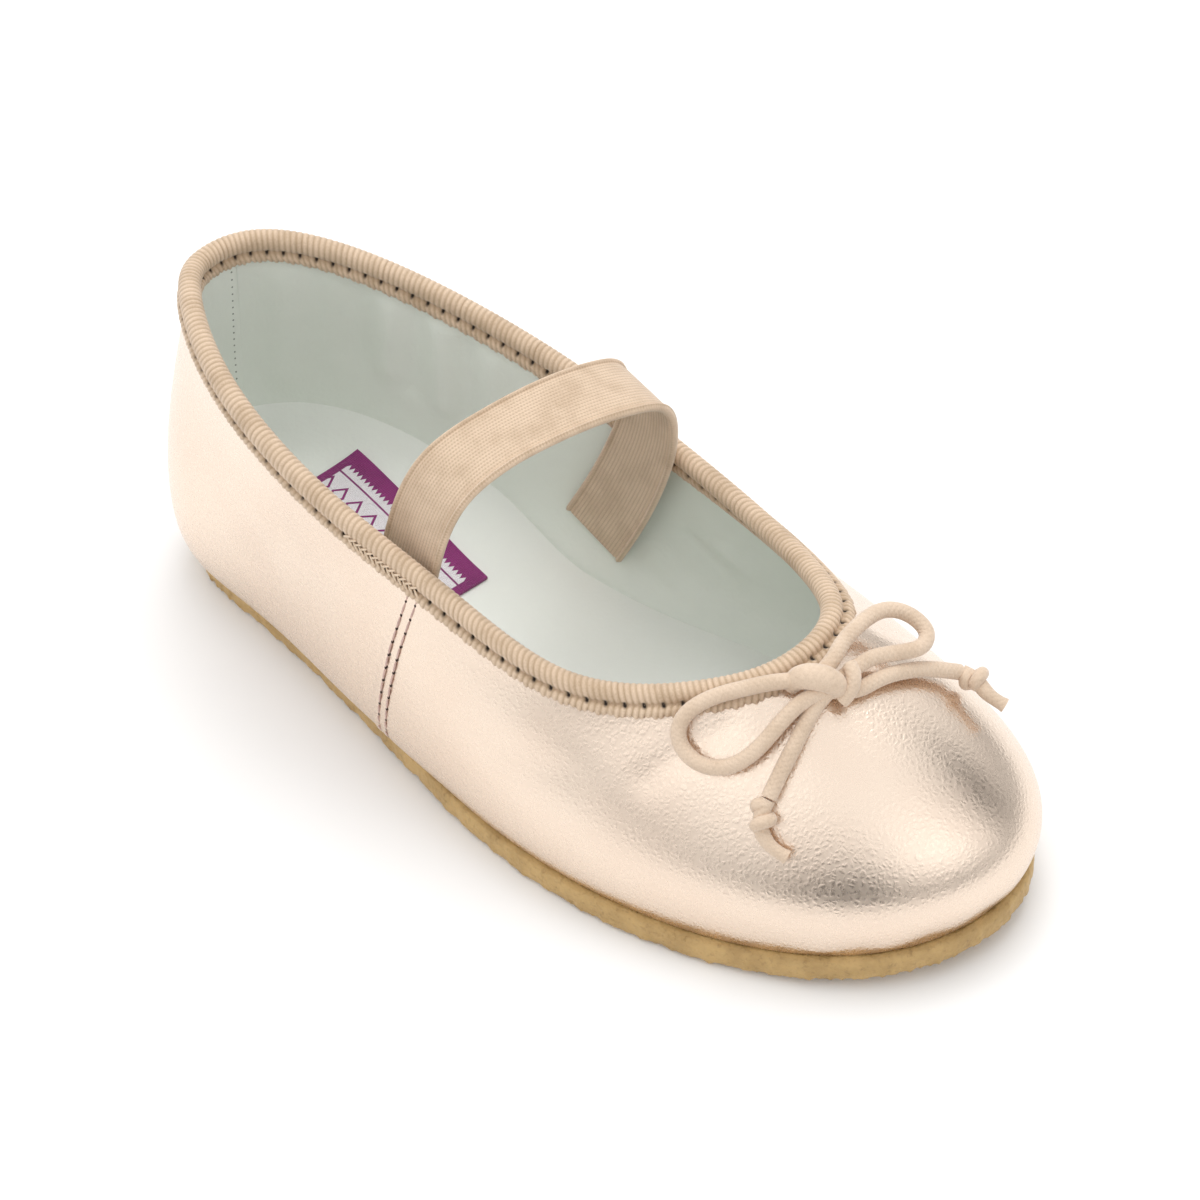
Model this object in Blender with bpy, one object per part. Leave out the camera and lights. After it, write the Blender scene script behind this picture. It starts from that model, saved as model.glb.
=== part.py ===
"""A child's leather ballet flat for the right foot, modelled as the pieces a shoemaker joins.

Frame: the shoe stands on the floor plane z = 0 with the origin under the middle of the heel's
tread, +X runs from heel to toe, +Y to the inner (medial) side of the foot and +Z up.  Every
table is in millimetres measured from the back of the heel, and becomes metres from the origin
when a piece is made.  The upper follows a ring of sections round the foot: each row of
SECTIONS gives the feather edge where the leather meets the sole, the swell of the wall above
it and the middle of the collar, and smooth curves join the rows both along the ring and up
each section.
"""

import math
from collections import namedtuple

import bpy
import numpy as np

# Driving sizes, in millimetres.
MM = 0.001
LENGTH = 156.0
HEEL_MIDDLE = 26.0
SOLE_THICKNESS = 4.0
TOE_SPRING = 2.9
WALL = 1.8
GAP = 0.3
INSOLE_THICKNESS = 2.4

# Where the sole lifts off the floor, as parts of the length.
HEEL_CURL = 0.8
HEEL_CURL_END = 0.05
ARCH_LIFT = 0.6
ARCH_START, ARCH_END = 0.30, 0.56
SPRING_START = 0.74

# The ring of sections starts at the back of the heel and runs along the outer (lateral) side
# to the toe, then back along the inner (medial) side.
Section = namedtuple(
    "Section",
    "place along side welt bulge bulge_up collar_along collar_side collar_up fullness",
)
SECTIONS = [
    Section("heel back", 0.000, -0.3, -1.0, 2.4, 11.0, 4.6, -0.8, 57.0, 0.05),
    Section("outer heel", 0.045, -12.5, -1.0, 2.6, 11.0, 10.0, -10.0, 57.4, 0.05),
    Section("outer heel front", 0.150, -16.9, -0.8, 2.6, 10.0, 26.6, -20.5, 54.6, 0.0),
    Section("outer waist", 0.320, -22.9, -0.4, 2.7, 9.0, 49.6, -25.7, 48.2, 0.0),
    Section("outer middle", 0.500, -29.8, 0.8, 2.0, 8.5, 72.4, -25.6, 41.0, 0.0),
    Section("outer ball", 0.690, -31.9, 1.4, 1.0, 8.0, 95.4, -24.4, 35.6, 0.0),
    Section("outer forefoot", 0.860, -25.8, 1.5, 0.4, 8.0, 112.6, -15.2, 36.5, 0.0),
    Section("outer toe", 0.964, -14.4, 1.4, 1.0, 8.0, 120.4, -6.9, 38.7, 0.1),
    Section("toe", 1.000, 1.2, 1.4, 2.4, 8.5, 122.2, 1.4, 39.5, 0.2),
    Section("inner toe", 0.960, 15.4, 1.4, 2.6, 8.5, 119.8, 8.9, 39.0, 0.2),
    Section("inner forefoot", 0.868, 24.2, 1.3, 2.0, 8.0, 111.8, 15.7, 36.7, 0.1),
    Section("inner ball", 0.720, 29.0, 0.8, 1.8, 8.5, 96.6, 22.0, 35.2, 0.1),
    Section("inner middle", 0.520, 25.0, 0.2, 2.4, 8.5, 75.8, 24.3, 39.4, 0.1),
    Section("inner waist", 0.330, 19.6, -0.4, 2.6, 9.5, 51.6, 23.8, 45.4, 0.0),
    Section("inner heel front", 0.150, 17.4, -0.8, 2.3, 10.5, 26.4, 18.9, 52.2, 0.0),
    Section("inner heel", 0.045, 11.9, -1.0, 2.4, 11.0, 10.0, 9.3, 57.2, 0.05),
]
STEPS_PER_SECTION = 5
RING = len(SECTIONS) * STEPS_PER_SECTION

# Rows up the outside and down the inside of the wall, as parts of the section's run.  The rim
# ends a little below the collar's middle, where the binding's roll takes over.
OUTSIDE_ROWS = [0.0, 0.06, 0.14, 0.24, 0.36, 0.50, 0.64, 0.78, 0.89]
INSIDE_ROWS = [0.80, 0.62, 0.44, 0.30, 0.19, 0.09, 0.0]
RIM_BELOW_COLLAR = 1.2


def ring_curve(values, steps):
    """Closed smooth curve through one value a section, read at evenly spaced steps."""
    count = len(values)
    values = np.asarray(values, float)
    system = np.zeros((count, count))
    for row in range(count):
        system[row, row] = 4.0
        system[row, (row - 1) % count] = 1.0
        system[row, (row + 1) % count] = 1.0
    second = 6.0 * (np.roll(values, -1) - 2.0 * values + np.roll(values, 1))
    bend = np.linalg.solve(system, second)
    place = np.arange(steps) * count / steps
    low = np.floor(place).astype(int)
    part = place - low
    high = (low + 1) % count
    return (
        (1.0 - part) * values[low]
        + part * values[high]
        - part * (1.0 - part) * ((2.0 - part) * bend[low] + (1.0 + part) * bend[high]) / 6.0
    )


def control_weights(places, controls):
    """Weights of a clamped cubic spline's control points at places from 0 to 1."""
    degree = 3
    inner = np.linspace(0.0, 1.0, controls - degree + 1)
    knots = np.concatenate([np.zeros(degree), inner, np.ones(degree)])
    places = np.clip(np.asarray(places, float), 0.0, 1.0 - 1e-9)[:, None]
    weights = ((knots[:-1] <= places) & (places < knots[1:])).astype(float)
    for order in range(1, degree + 1):
        below = knots[order:-1] - knots[: -order - 1]
        above = knots[order + 1 :] - knots[1:-order]
        rise = (places - knots[: -order - 1]) / np.where(below > 0, below, 1.0)
        fall = (knots[order + 1 :] - places) / np.where(above > 0, above, 1.0)
        weights = weights[:, :-1] * rise * (below > 0) + weights[:, 1:] * fall * (above > 0)
    return weights


def floor_height(along):
    """Height of the sole's underside: flat at heel and ball, curled up at both ends."""
    part = np.asarray(along, float) / LENGTH
    heel = HEEL_CURL * np.clip(1.0 - part / HEEL_CURL_END, 0.0, None) ** 2
    waist = np.clip((part - ARCH_START) / (ARCH_END - ARCH_START), 0.0, 1.0)
    arch = ARCH_LIFT * np.sin(math.pi * waist) ** 2
    spring = TOE_SPRING * np.clip((part - SPRING_START) / (1.0 - SPRING_START), 0.0, None) ** 2
    return heel + arch + spring


def unit(vectors):
    """Vectors scaled to length one."""
    return vectors / np.linalg.norm(vectors, axis=-1, keepdims=True)


def outward(plan):
    """Unit vectors in plan, square to a closed outline and pointing away from the foot."""
    run = unit(np.roll(plan, -1, axis=0) - np.roll(plan, 1, axis=0))
    return np.column_stack([run[:, 1], -run[:, 0]])


def column(name, steps):
    """One named column of SECTIONS as a smooth closed curve."""
    return ring_curve([getattr(section, name) for section in SECTIONS], steps)


class Last:
    """The foot form: the outer face of the upper, on a grid of ring steps and section rows."""

    def __init__(self, steps=RING):
        self.steps = steps
        along = ring_curve([section.along * LENGTH for section in SECTIONS], steps)
        self.feather = np.column_stack([along, column("side", steps)])
        self.away = outward(self.feather)
        self.collar = np.column_stack([column("collar_along", steps), column("collar_side", steps)])
        self.collar_up = column("collar_up", steps)
        self.base = floor_height(along) + SOLE_THICKNESS + GAP

    def controls(self):
        """Control rings from the feather edge to the collar, seven points a section."""
        bulge = column("bulge", self.steps)
        bulge_up = column("bulge_up", self.steps)
        full = column("fullness", self.steps)
        rise = self.collar_up - self.base
        reach = self.collar - self.feather

        def ring(push, pull, height):
            plan = self.feather + self.away * push[:, None] + reach * pull[:, None]
            return np.column_stack([plan, self.base + height])

        def between(slim, round_):
            return slim * (1.0 - full) + round_ * full

        none = np.zeros(self.steps)
        return np.array(
            [
                ring(none, none, none),
                ring(0.8 * bulge, none, 0.3 * bulge_up),
                ring(1.2 * bulge, none, bulge_up),
                ring(0.9 * bulge, between(0.22, 0.05), between(0.48, 0.62) * rise),
                ring(0.4 * bulge, between(0.55, 0.30), between(0.72, 0.90) * rise),
                ring(none, between(0.88, 0.72), between(0.90, 0.97) * rise),
                ring(none, none + 1.0, rise),
            ]
        )

    def outside(self, rows):
        """Points of the outer face, one ring for each row."""
        controls = self.controls()
        return np.einsum("rc,csk->rsk", control_weights(rows, len(controls)), controls)

    def normals(self, rows):
        """Outward unit vectors of the outer face at the same places."""
        step = 1e-3
        low = np.clip(np.asarray(rows, float) - step, 0.0, 1.0)
        high = np.clip(np.asarray(rows, float) + step, 0.0, 1.0)
        up = self.outside(high) - self.outside(low)
        ring = self.outside(rows)
        run = np.roll(ring, -1, axis=1) - np.roll(ring, 1, axis=1)
        return unit(np.cross(run, up))

    def offset(self, rows, depth):
        """Points at a depth under the outer face; a negative depth lies outside it."""
        return self.outside(rows) - self.normals(rows) * depth

    def below_collar(self, distance, depth):
        """One ring at a distance down the wall from the collar, at a depth under the face."""
        rows = np.linspace(0.6, 1.0, 81)
        face = self.outside(rows)
        faced = face - self.normals(rows) * depth
        lengths = np.linalg.norm(np.diff(face, axis=0), axis=2)
        run = np.concatenate([np.cumsum(lengths[::-1], axis=0)[::-1], np.zeros((1, self.steps))])
        ring = np.empty((self.steps, 3))
        for step in range(self.steps):
            for axis in range(3):
                ring[step, axis] = np.interp(-distance, -run[:, step], faced[:, step, axis])
        return ring

    def lining_at(self, heights, inset):
        """One ring on the inner face of the wall at a height for each step, moved inward."""
        rows = np.linspace(0.0, 0.8, 161)
        inner = self.offset(rows, WALL + inset)
        ring = np.empty((self.steps, 3))
        for step in range(self.steps):
            for axis in range(2):
                ring[step, axis] = np.interp(heights[step], inner[:, step, 2], inner[:, step, axis])
        ring[:, 2] = heights
        return ring

    def sides(self, along):
        """The feather edge's outer and inner side at places along the foot."""
        half = self.steps // 2
        outer, inner = self.feather[: half + 1], self.feather[half:]
        low = np.interp(along, outer[:, 0], outer[:, 1])
        high = np.interp(along, inner[::-1, 0], inner[::-1, 1])
        return low, high


def finish(name, colour, roughness, metallic=0.0):
    """A plain material for one piece."""
    material = bpy.data.materials.new(name)
    material.use_nodes = True
    shader = material.node_tree.nodes["Principled BSDF"]
    shader.inputs["Base Color"].default_value = (*colour, 1.0)
    shader.inputs["Roughness"].default_value = roughness
    shader.inputs["Metallic"].default_value = metallic
    return material


def placed(points):
    """Points of the tables as places in the frame, in metres."""
    return (np.asarray(points) - np.array([HEEL_MIDDLE, 0.0, 0.0])) * MM


def add_piece(name, points, faces, material, crease=40.0):
    """One closed mesh object, from points in millimetres."""
    mesh = bpy.data.meshes.new(name)
    mesh.from_pydata(placed(points).tolist(), [], [tuple(face) for face in faces])
    mesh.shade_smooth()
    mesh.set_sharp_from_angle(angle=math.radians(crease))
    mesh.materials.append(material)
    piece = bpy.data.objects.new(name, mesh)
    bpy.context.collection.objects.link(piece)
    return piece


def loop_faces(rings, steps, closed):
    """Quads between successive rings, and from the last back to the first when closed."""
    faces = []
    for row in range(rings if closed else rings - 1):
        low = row * steps
        high = ((row + 1) % rings) * steps
        for step in range(steps):
            following = (step + 1) % steps
            faces.append((low + step, low + following, high + following, high + step))
    return faces


def cap_faces(start, steps, upward):
    """Rungs across a closed ring, from each outer step to the inner step opposite."""
    faces = []
    half = steps // 2
    for step in range(half):
        one, two = start + step, start + step + 1
        three = start + (steps - step - 1) % steps
        four = start + (steps - step) % steps
        corners = [one, two, three, four]
        kept = [corner for place, corner in enumerate(corners) if corner not in corners[:place]]
        faces.append(tuple(kept if upward else kept[::-1]))
    return faces


def make_upper(last):
    """The leather upper: one hollow wall, open at the collar and underneath."""
    rose_gold = finish("rose gold leather", (0.83, 0.62, 0.52), 0.28, 0.85)
    outer = last.outside(OUTSIDE_ROWS)
    rim = [last.below_collar(RIM_BELOW_COLLAR, depth) for depth in (0.0, WALL)]
    inner = last.offset(INSIDE_ROWS, WALL)
    inner[-1, :, 2] = last.base
    rings = np.concatenate([outer, rim, inner])
    faces = loop_faces(len(rings), last.steps, closed=True)
    return add_piece("upper", rings.reshape(-1, 3), faces, rose_gold)


# The sole's side, from its underside to its top: how far each ring stands out from the sole's
# own outline, and its height as a part of the thickness.
SoleRing = namedtuple("SoleRing", "place out height")
SOLE_RINGS = [
    SoleRing("tread edge", -0.9, 0.0),
    SoleRing("foot of the side", -0.1, 0.16),
    SoleRing("belly of the side", 0.1, 0.5),
    SoleRing("head of the side", 0.0, 0.86),
    SoleRing("feather edge", -0.6, 1.0),
]


def make_outsole(last):
    """The crepe rubber outsole: a thin slab with a rounded side, an arch and a toe spring."""
    crepe = finish("honey crepe rubber", (0.50, 0.30, 0.12), 0.6)
    welt = column("welt", last.steps)
    rings = []
    for ring in SOLE_RINGS:
        plan = last.feather + last.away * (welt + ring.out)[:, None]
        height = floor_height(last.feather[:, 0]) + SOLE_THICKNESS * ring.height
        rings.append(np.column_stack([plan, height]))
    faces = loop_faces(len(rings), last.steps, closed=False)
    faces += cap_faces(0, last.steps, upward=False)
    faces += cap_faces((len(rings) - 1) * last.steps, last.steps, upward=True)
    return add_piece("outsole", np.concatenate(rings), faces, crepe)


def smooth_line(places, values, where):
    """A line through values at places, eased so that it is level at each of them."""
    places, values = np.asarray(places), np.asarray(values)
    row = np.clip(np.searchsorted(places, where, side="right") - 1, 0, len(places) - 2)
    part = np.clip((where - places[row]) / (places[row + 1] - places[row]), 0.0, 1.0)
    slopes = np.gradient(values, places)
    span = places[row + 1] - places[row]
    rest = 1.0 - part
    return (
        values[row] * (1.0 + 2.0 * part) * rest**2
        + slopes[row] * span * part * rest**2
        + values[row + 1] * part**2 * (3.0 - 2.0 * part)
        - slopes[row + 1] * span * part**2 * rest
    )


# The insole's top: how far it stands above the outsole, and how far its edge is cupped up.
InsoleRow = namedtuple("InsoleRow", "place along rise cup")
INSOLE_ROWS = [
    InsoleRow("heel back", 0.00, 14.2, 2.4),
    InsoleRow("heel seat", 0.18, 13.2, 2.4),
    InsoleRow("shank", 0.34, 8.0, 1.6),
    InsoleRow("waist", 0.46, 3.8, 0.8),
    InsoleRow("ball", 0.62, 2.5, 0.3),
    InsoleRow("toe", 1.00, 2.4, 0.0),
]
INSOLE_CLEARANCE = 0.45
INSOLE_SIDE_ROWS = [0.0, 0.2, 0.4, 0.6, 0.8, 1.0]
INSOLE_TOP_ROWS = [0.94, 0.66, 0.33]


def insole_top(last, along, side):
    """Height of the insole's upper face at places in plan: a wedge with a cupped edge."""
    part = np.asarray(along) / LENGTH
    places = [row.along for row in INSOLE_ROWS]
    rise = smooth_line(places, [row.rise for row in INSOLE_ROWS], part)
    cup = smooth_line(places, [row.cup for row in INSOLE_ROWS], part)
    low, high = last.sides(along)
    across = (side - 0.5 * (low + high)) / np.clip(0.5 * (high - low), 1.0, None)
    base = floor_height(along) + SOLE_THICKNESS + GAP
    return base + rise + cup * np.clip(np.abs(across), 0.0, 1.0) ** 2


def make_insole(last):
    """The insole: a wedge under the heel that thins to the toe and fills the upper's foot."""
    white = finish("white sock leather", (0.86, 0.87, 0.84), 0.5)
    edge = last.lining_at(last.base + INSOLE_THICKNESS, INSOLE_CLEARANCE)
    top = insole_top(last, edge[:, 0], edge[:, 1])
    rings = []
    for row in INSOLE_SIDE_ROWS:
        rings.append(last.lining_at(last.base + (top - last.base) * row, INSOLE_CLEARANCE))
    rim = rings[-1][:, :2]
    opposite = np.roll(rim[::-1], 1, axis=0)
    middle = 0.5 * (rim + opposite)
    for row in INSOLE_TOP_ROWS:
        plan = middle + (rim - middle) * row
        height = insole_top(last, plan[:, 0], plan[:, 1])
        rings.append(np.column_stack([plan, height]))
    faces = loop_faces(len(rings), last.steps, closed=False)
    faces += cap_faces(0, last.steps, upward=False)
    faces += cap_faces((len(rings) - 1) * last.steps, last.steps, upward=True)
    return add_piece("insole", np.concatenate(rings), faces, white)


# The binding's fold, read from its outer edge over the roll to its inner edge and back along
# the faces that touch the wall: legs run down the wall, the roll goes round the collar's middle.
TAPE = 0.7
ROLL_RADIUS = 1.9
OUTER_LEG = [2.9, 2.3, 1.7]
INNER_LEG = [1.7, 3.1]
ROLL_ANGLES = [10, 50, 90, 130, 170]


def make_binding(last):
    """The grosgrain binding: a tape folded over the collar, with a round roll at its top."""
    beige = finish("beige grosgrain", (0.72, 0.56, 0.42), 0.8)
    outside = -(GAP + TAPE)
    inside = WALL + GAP + TAPE
    rings = [last.below_collar(distance, outside) for distance in OUTER_LEG]
    middle = last.below_collar(0.0, 0.5 * WALL)
    out = last.normals([1.0])[0]
    up = unit(last.below_collar(0.0, 0.0) - last.below_collar(2.0, 0.0))
    for angle in ROLL_ANGLES:
        turn = math.radians(angle)
        rings.append(middle + ROLL_RADIUS * (math.cos(turn) * out + math.sin(turn) * up))
    rings += [last.below_collar(distance, inside) for distance in INNER_LEG]
    crown = RIM_BELOW_COLLAR - GAP
    rings += [last.below_collar(INNER_LEG[-1], WALL + GAP), last.below_collar(crown, WALL + GAP)]
    rings += [last.below_collar(crown, -GAP)]
    rings += [last.below_collar(distance, -GAP) for distance in (OUTER_LEG[1], OUTER_LEG[0])]
    faces = loop_faces(len(rings), last.steps, closed=True)
    return add_piece("collar_binding", np.concatenate(rings), faces, beige)


def open_curve(points, steps):
    """A smooth curve through points in order, read at even steps of its own length."""
    points = np.asarray(points, float)
    run = np.concatenate([[0.0], np.cumsum(np.linalg.norm(np.diff(points, axis=0), axis=1))])
    count = len(points)
    gaps = np.diff(run)
    system = np.eye(count)
    slopes = np.zeros((count, points.shape[1]))
    for row in range(1, count - 1):
        system[row, row - 1 : row + 2] = gaps[row - 1], 2.0 * (gaps[row - 1] + gaps[row]), gaps[row]
        rise = (points[row + 1] - points[row]) / gaps[row]
        slopes[row] = 6.0 * (rise - (points[row] - points[row - 1]) / gaps[row - 1])
    bend = np.linalg.solve(system, slopes)

    def read(where):
        low = np.clip(np.searchsorted(run, where, side="right") - 1, 0, count - 2)
        span = gaps[low][:, None]
        part = (where - run[low])[:, None] / span
        rest = 1.0 - part
        straight = rest * points[low] + part * points[low + 1]
        curl = (rest**3 - rest) * bend[low] + (part**3 - part) * bend[low + 1]
        return straight + curl * span**2 / 6.0

    fine = read(np.linspace(0.0, run[-1], 40 * count))
    length = np.concatenate([[0.0], np.cumsum(np.linalg.norm(np.diff(fine, axis=0), axis=1))])
    even = np.linspace(0.0, length[-1], steps)
    return np.column_stack([np.interp(even, length, fine[:, axis]) for axis in range(3)])


# The elastic strap's middle line: up from the insole inside the outer wall, over the instep
# and down inside the inner wall.  Its width leans as STRAP_LEANS says at the outer end, the
# crest and the inner end.
STRAP_WIDTH = 12.5
STRAP_THICKNESS = 1.2
STRAP_ROUTE = [
    (58.8, -22.4, 15.8),
    (61.4, -22.3, 29.0),
    (63.7, -20.6, 41.4),
    (65.2, -18.7, 48.8),
    (66.9, -15.4, 54.0),
    (69.3, -9.6, 57.1),
    (72.1, -2.2, 58.5),
    (74.7, 5.4, 58.6),
    (76.7, 12.3, 57.3),
    (77.6, 17.4, 54.4),
    (77.4, 19.4, 47.6),
    (75.4, 19.5, 39.0),
    (72.2, 19.8, 31.0),
    (68.6, 20.2, 23.4),
    (64.4, 20.4, 15.4),
]
STRAP_LEANS = [(0.95, -0.10, -0.22), (0.94, -0.33, -0.03), (0.95, -0.03, -0.30)]
STRAP_STEPS = 44
# Across the strap: along its width and through its thickness, as parts of the half sizes.
STRAP_EDGE = [(-1.0, 0.0), (-0.92, -1.0), (0.92, -1.0), (1.0, 0.0), (0.92, 1.0), (-0.92, 1.0)]


def tube_faces(rings, sides):
    """Sides and flat ends of a solid swept along a line, a ring of corners at each step."""
    faces = loop_faces(rings, sides, closed=False)
    last = (rings - 1) * sides
    faces.append(tuple(range(sides - 1, -1, -1)))
    faces.append(tuple(last + side for side in range(sides)))
    return faces


def make_strap():
    """The elastic instep strap: one band, bent over the instep."""
    elastic = finish("beige elastic", (0.70, 0.55, 0.41), 0.85)
    middle = open_curve(STRAP_ROUTE, STRAP_STEPS)
    along = unit(np.gradient(middle, axis=0))
    lean = open_curve(STRAP_LEANS, STRAP_STEPS)
    across = unit(lean - (lean * along).sum(axis=1)[:, None] * along)
    through = np.cross(along, across)
    corners = []
    for wide, thick in STRAP_EDGE:
        reach = across * (0.5 * STRAP_WIDTH * wide)
        corners.append(middle + reach + through * (0.5 * STRAP_THICKNESS * thick))
    rings = np.stack(corners, axis=1)
    faces = tube_faces(STRAP_STEPS, len(STRAP_EDGE))
    return add_piece("instep_strap", rings.reshape(-1, 3), faces, elastic)


# The woven label on the insole: a thin patch, its long side nearly along the foot.
LABEL_LENGTH, LABEL_WIDTH, LABEL_THICKNESS = 32.0, 17.0, 0.5
LABEL_MIDDLE = (38.0, -1.0)
LABEL_TURN = math.radians(-10.0)
LABEL_CELLS = (8, 4)
LABEL_GAP = 0.5


def make_label(last):
    """The label: a patch draped on the insole's upper face."""
    purple = finish("purple woven label", (0.22, 0.01, 0.16), 0.8)
    wide, deep = LABEL_CELLS
    run, side = np.meshgrid(
        np.linspace(-0.5, 0.5, wide + 1) * LABEL_LENGTH,
        np.linspace(-0.5, 0.5, deep + 1) * LABEL_WIDTH,
    )
    along = LABEL_MIDDLE[0] + run * math.cos(LABEL_TURN) - side * math.sin(LABEL_TURN)
    across = LABEL_MIDDLE[1] + run * math.sin(LABEL_TURN) + side * math.cos(LABEL_TURN)
    low = insole_top(last, along.ravel(), across.ravel()) + LABEL_GAP
    plan = np.column_stack([along.ravel(), across.ravel()])
    under = np.column_stack([plan, low])
    over = np.column_stack([plan, low + LABEL_THICKNESS])
    count = len(plan)
    across_row = wide + 1
    faces = []
    for row in range(deep):
        for cell in range(wide):
            one = row * across_row + cell
            quad = (one, one + 1, one + 1 + across_row, one + across_row)
            faces.append(tuple(count + corner for corner in quad))
            faces.append(quad[::-1])
    edge = list(range(wide)) + [wide + row * across_row for row in range(deep)]
    edge += [count - 1 - cell for cell in range(wide)]
    edge += [(deep - row) * across_row for row in range(deep)]
    for place, corner in enumerate(edge):
        following = edge[(place + 1) % len(edge)]
        faces.append((corner, following, count + following, count + corner))
    return add_piece("insole_label", np.concatenate([under, over]), faces, purple)


# The drawstring's bow on the vamp.  Each route is the middle line of a round cord.
CORD = 2.4
OUTER_LOOP = [
    (123.9, -8.5, 40.2),
    (122.2, -9.9, 40.0),
    (119.3, -12.3, 39.1),
    (116.2, -15.2, 38.0),
    (114.4, -17.6, 36.9),
    (113.4, -19.9, 35.0),
    (113.9, -21.2, 32.7),
    (115.6, -21.7, 31.3),
    (118.2, -21.6, 30.5),
    (121.7, -19.9, 30.8),
    (123.9, -17.6, 32.5),
    (125.2, -14.7, 34.8),
    (126.0, -11.8, 36.8),
    (126.3, -10.2, 38.0),
]
INNER_LOOP = [
    (127.0, -1.9, 41.0),
    (126.3, 1.2, 41.1),
    (126.0, 5.2, 41.3),
    (126.2, 8.2, 41.3),
    (127.0, 11.0, 41.0),
    (128.7, 12.9, 40.2),
    (131.0, 13.6, 39.2),
    (133.1, 13.0, 38.2),
    (133.8, 11.2, 37.8),
    (132.9, 8.6, 38.0),
    (131.3, 6.0, 38.5),
    (130.1, 3.4, 39.0),
    (129.8, 0.2, 39.2),
]
OUTER_TAIL = [
    (128.3, -8.0, 36.9),
    (128.4, -11.4, 34.7),
    (128.5, -15.2, 31.8),
    (128.6, -19.4, 28.2),
]
INNER_TAIL = [
    (131.1, -1.4, 37.1),
    (132.1, 2.2, 36.8),
    (133.0, 5.2, 36.2),
    (134.1, 8.6, 34.9),
    (135.5, 12.0, 33.1),
    (137.4, 15.5, 30.9),
]
# A knot's route with its radius at even places along it.
KNOT_ROUTE = [(125.0, -7.3, 40.4), (127.0, -6.1, 40.0), (129.1, -4.4, 39.0), (130.5, -2.2, 37.9)]
KNOT_RADII = [2.2, 2.9, 2.9, 2.7, 2.5, 1.9]
OUTER_END = [
    (128.6, -20.2, 27.6),
    (128.6, -23.1, 25.7),
    (130.2, -23.6, 23.9),
    (132.2, -23.0, 22.6),
    (134.2, -22.5, 21.9),
]
INNER_END = [
    (138.2, 16.6, 30.5),
    (140.1, 16.4, 30.0),
    (141.8, 15.2, 29.6),
    (143.5, 15.4, 28.9),
    (145.2, 16.0, 28.2),
]
END_RADII = [1.3, 2.3, 2.4, 1.8, 1.2, 1.2]
KNOT_STEPS = 9
KNOT_SIDES = 10
CORD_STEPS_PER_MM = 0.28


def make_cord(name, route, material):
    """One free length of drawstring, a round tube along its route."""
    span = np.linalg.norm(np.diff(np.array(route), axis=0), axis=1).sum()
    places = placed(open_curve(route, max(5, round(span * CORD_STEPS_PER_MM))))
    curve = bpy.data.curves.new(name, "CURVE")
    curve.dimensions = "3D"
    curve.bevel_depth = 0.5 * CORD * MM
    curve.bevel_resolution = 2
    curve.use_fill_caps = True
    line = curve.splines.new("POLY")
    line.points.add(len(places) - 1)
    for point, place in zip(line.points, places):
        point.co = (*place, 1.0)
    curve.materials.append(material)
    cord = bpy.data.objects.new(name, curve)
    bpy.context.collection.objects.link(cord)
    return cord


def make_knot(name, route, radii, material):
    """A knot: a fat cord whose radius swells and narrows along a short route."""
    middle = open_curve(route, KNOT_STEPS)
    along = unit(np.gradient(middle, axis=0))
    across = unit(np.cross(along, [0.0, 0.0, 1.0]))
    up = np.cross(across, along)
    swell = np.interp(np.linspace(0.0, 1.0, KNOT_STEPS), np.linspace(0.0, 1.0, len(radii)), radii)
    turns = np.arange(KNOT_SIDES) * 2.0 * math.pi / KNOT_SIDES
    spokes = (
        np.cos(turns)[None, :, None] * up[:, None]
        + np.sin(turns)[None, :, None] * across[:, None]
    )
    rings = middle[:, None] + spokes * swell[:, None, None]
    faces = tube_faces(KNOT_STEPS, KNOT_SIDES)
    return add_piece(name, rings.reshape(-1, 3), faces, material, crease=70.0)


def make_bow():
    """The drawstring tied on the vamp: a knot, two loops and two tails with knotted ends."""
    cotton = finish("beige cotton cord", (0.74, 0.58, 0.44), 0.85)
    make_knot("bow_knot", KNOT_ROUTE, KNOT_RADII, cotton)
    make_cord("bow_loop_outer", OUTER_LOOP, cotton)
    make_cord("bow_loop_inner", INNER_LOOP, cotton)
    make_cord("bow_tail_outer", OUTER_TAIL, cotton)
    make_cord("bow_tail_inner", INNER_TAIL, cotton)
    make_knot("bow_end_outer", OUTER_END, END_RADII, cotton)
    make_knot("bow_end_inner", INNER_END, END_RADII, cotton)


def clear_scene():
    """Remove the objects that a new file starts with."""
    for item in list(bpy.data.objects):
        bpy.data.objects.remove(item, do_unlink=True)


def main():
    clear_scene()
    last = Last()
    make_outsole(last)
    make_insole(last)
    make_upper(last)
    make_binding(last)
    make_strap()
    make_label(last)
    make_bow()


main()
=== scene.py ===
"""The looks of a child's ballet flat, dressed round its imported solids.

Frame: the shoe stands on z = 0, +X runs from heel to toe and +Y to the inner side of the foot.
Every table and size is in millimetres, measured from the back of the heel as the construction
measures it, and `placed` turns such points into metres of the frame.
"""

from __future__ import annotations

import logging
import math
from dataclasses import dataclass, field
from enum import Enum
from typing import NamedTuple, Sequence

import bpy
import numpy as np
from mathutils import Matrix
from numpy.typing import NDArray


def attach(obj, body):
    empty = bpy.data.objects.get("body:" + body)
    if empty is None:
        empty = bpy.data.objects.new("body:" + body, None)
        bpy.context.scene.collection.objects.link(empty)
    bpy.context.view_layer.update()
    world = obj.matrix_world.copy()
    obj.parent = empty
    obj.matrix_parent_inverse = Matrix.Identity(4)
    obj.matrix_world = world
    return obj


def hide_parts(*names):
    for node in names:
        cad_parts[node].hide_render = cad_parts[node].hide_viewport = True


Array = NDArray[np.float64]
log = logging.getLogger("ballet_flat")

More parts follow.
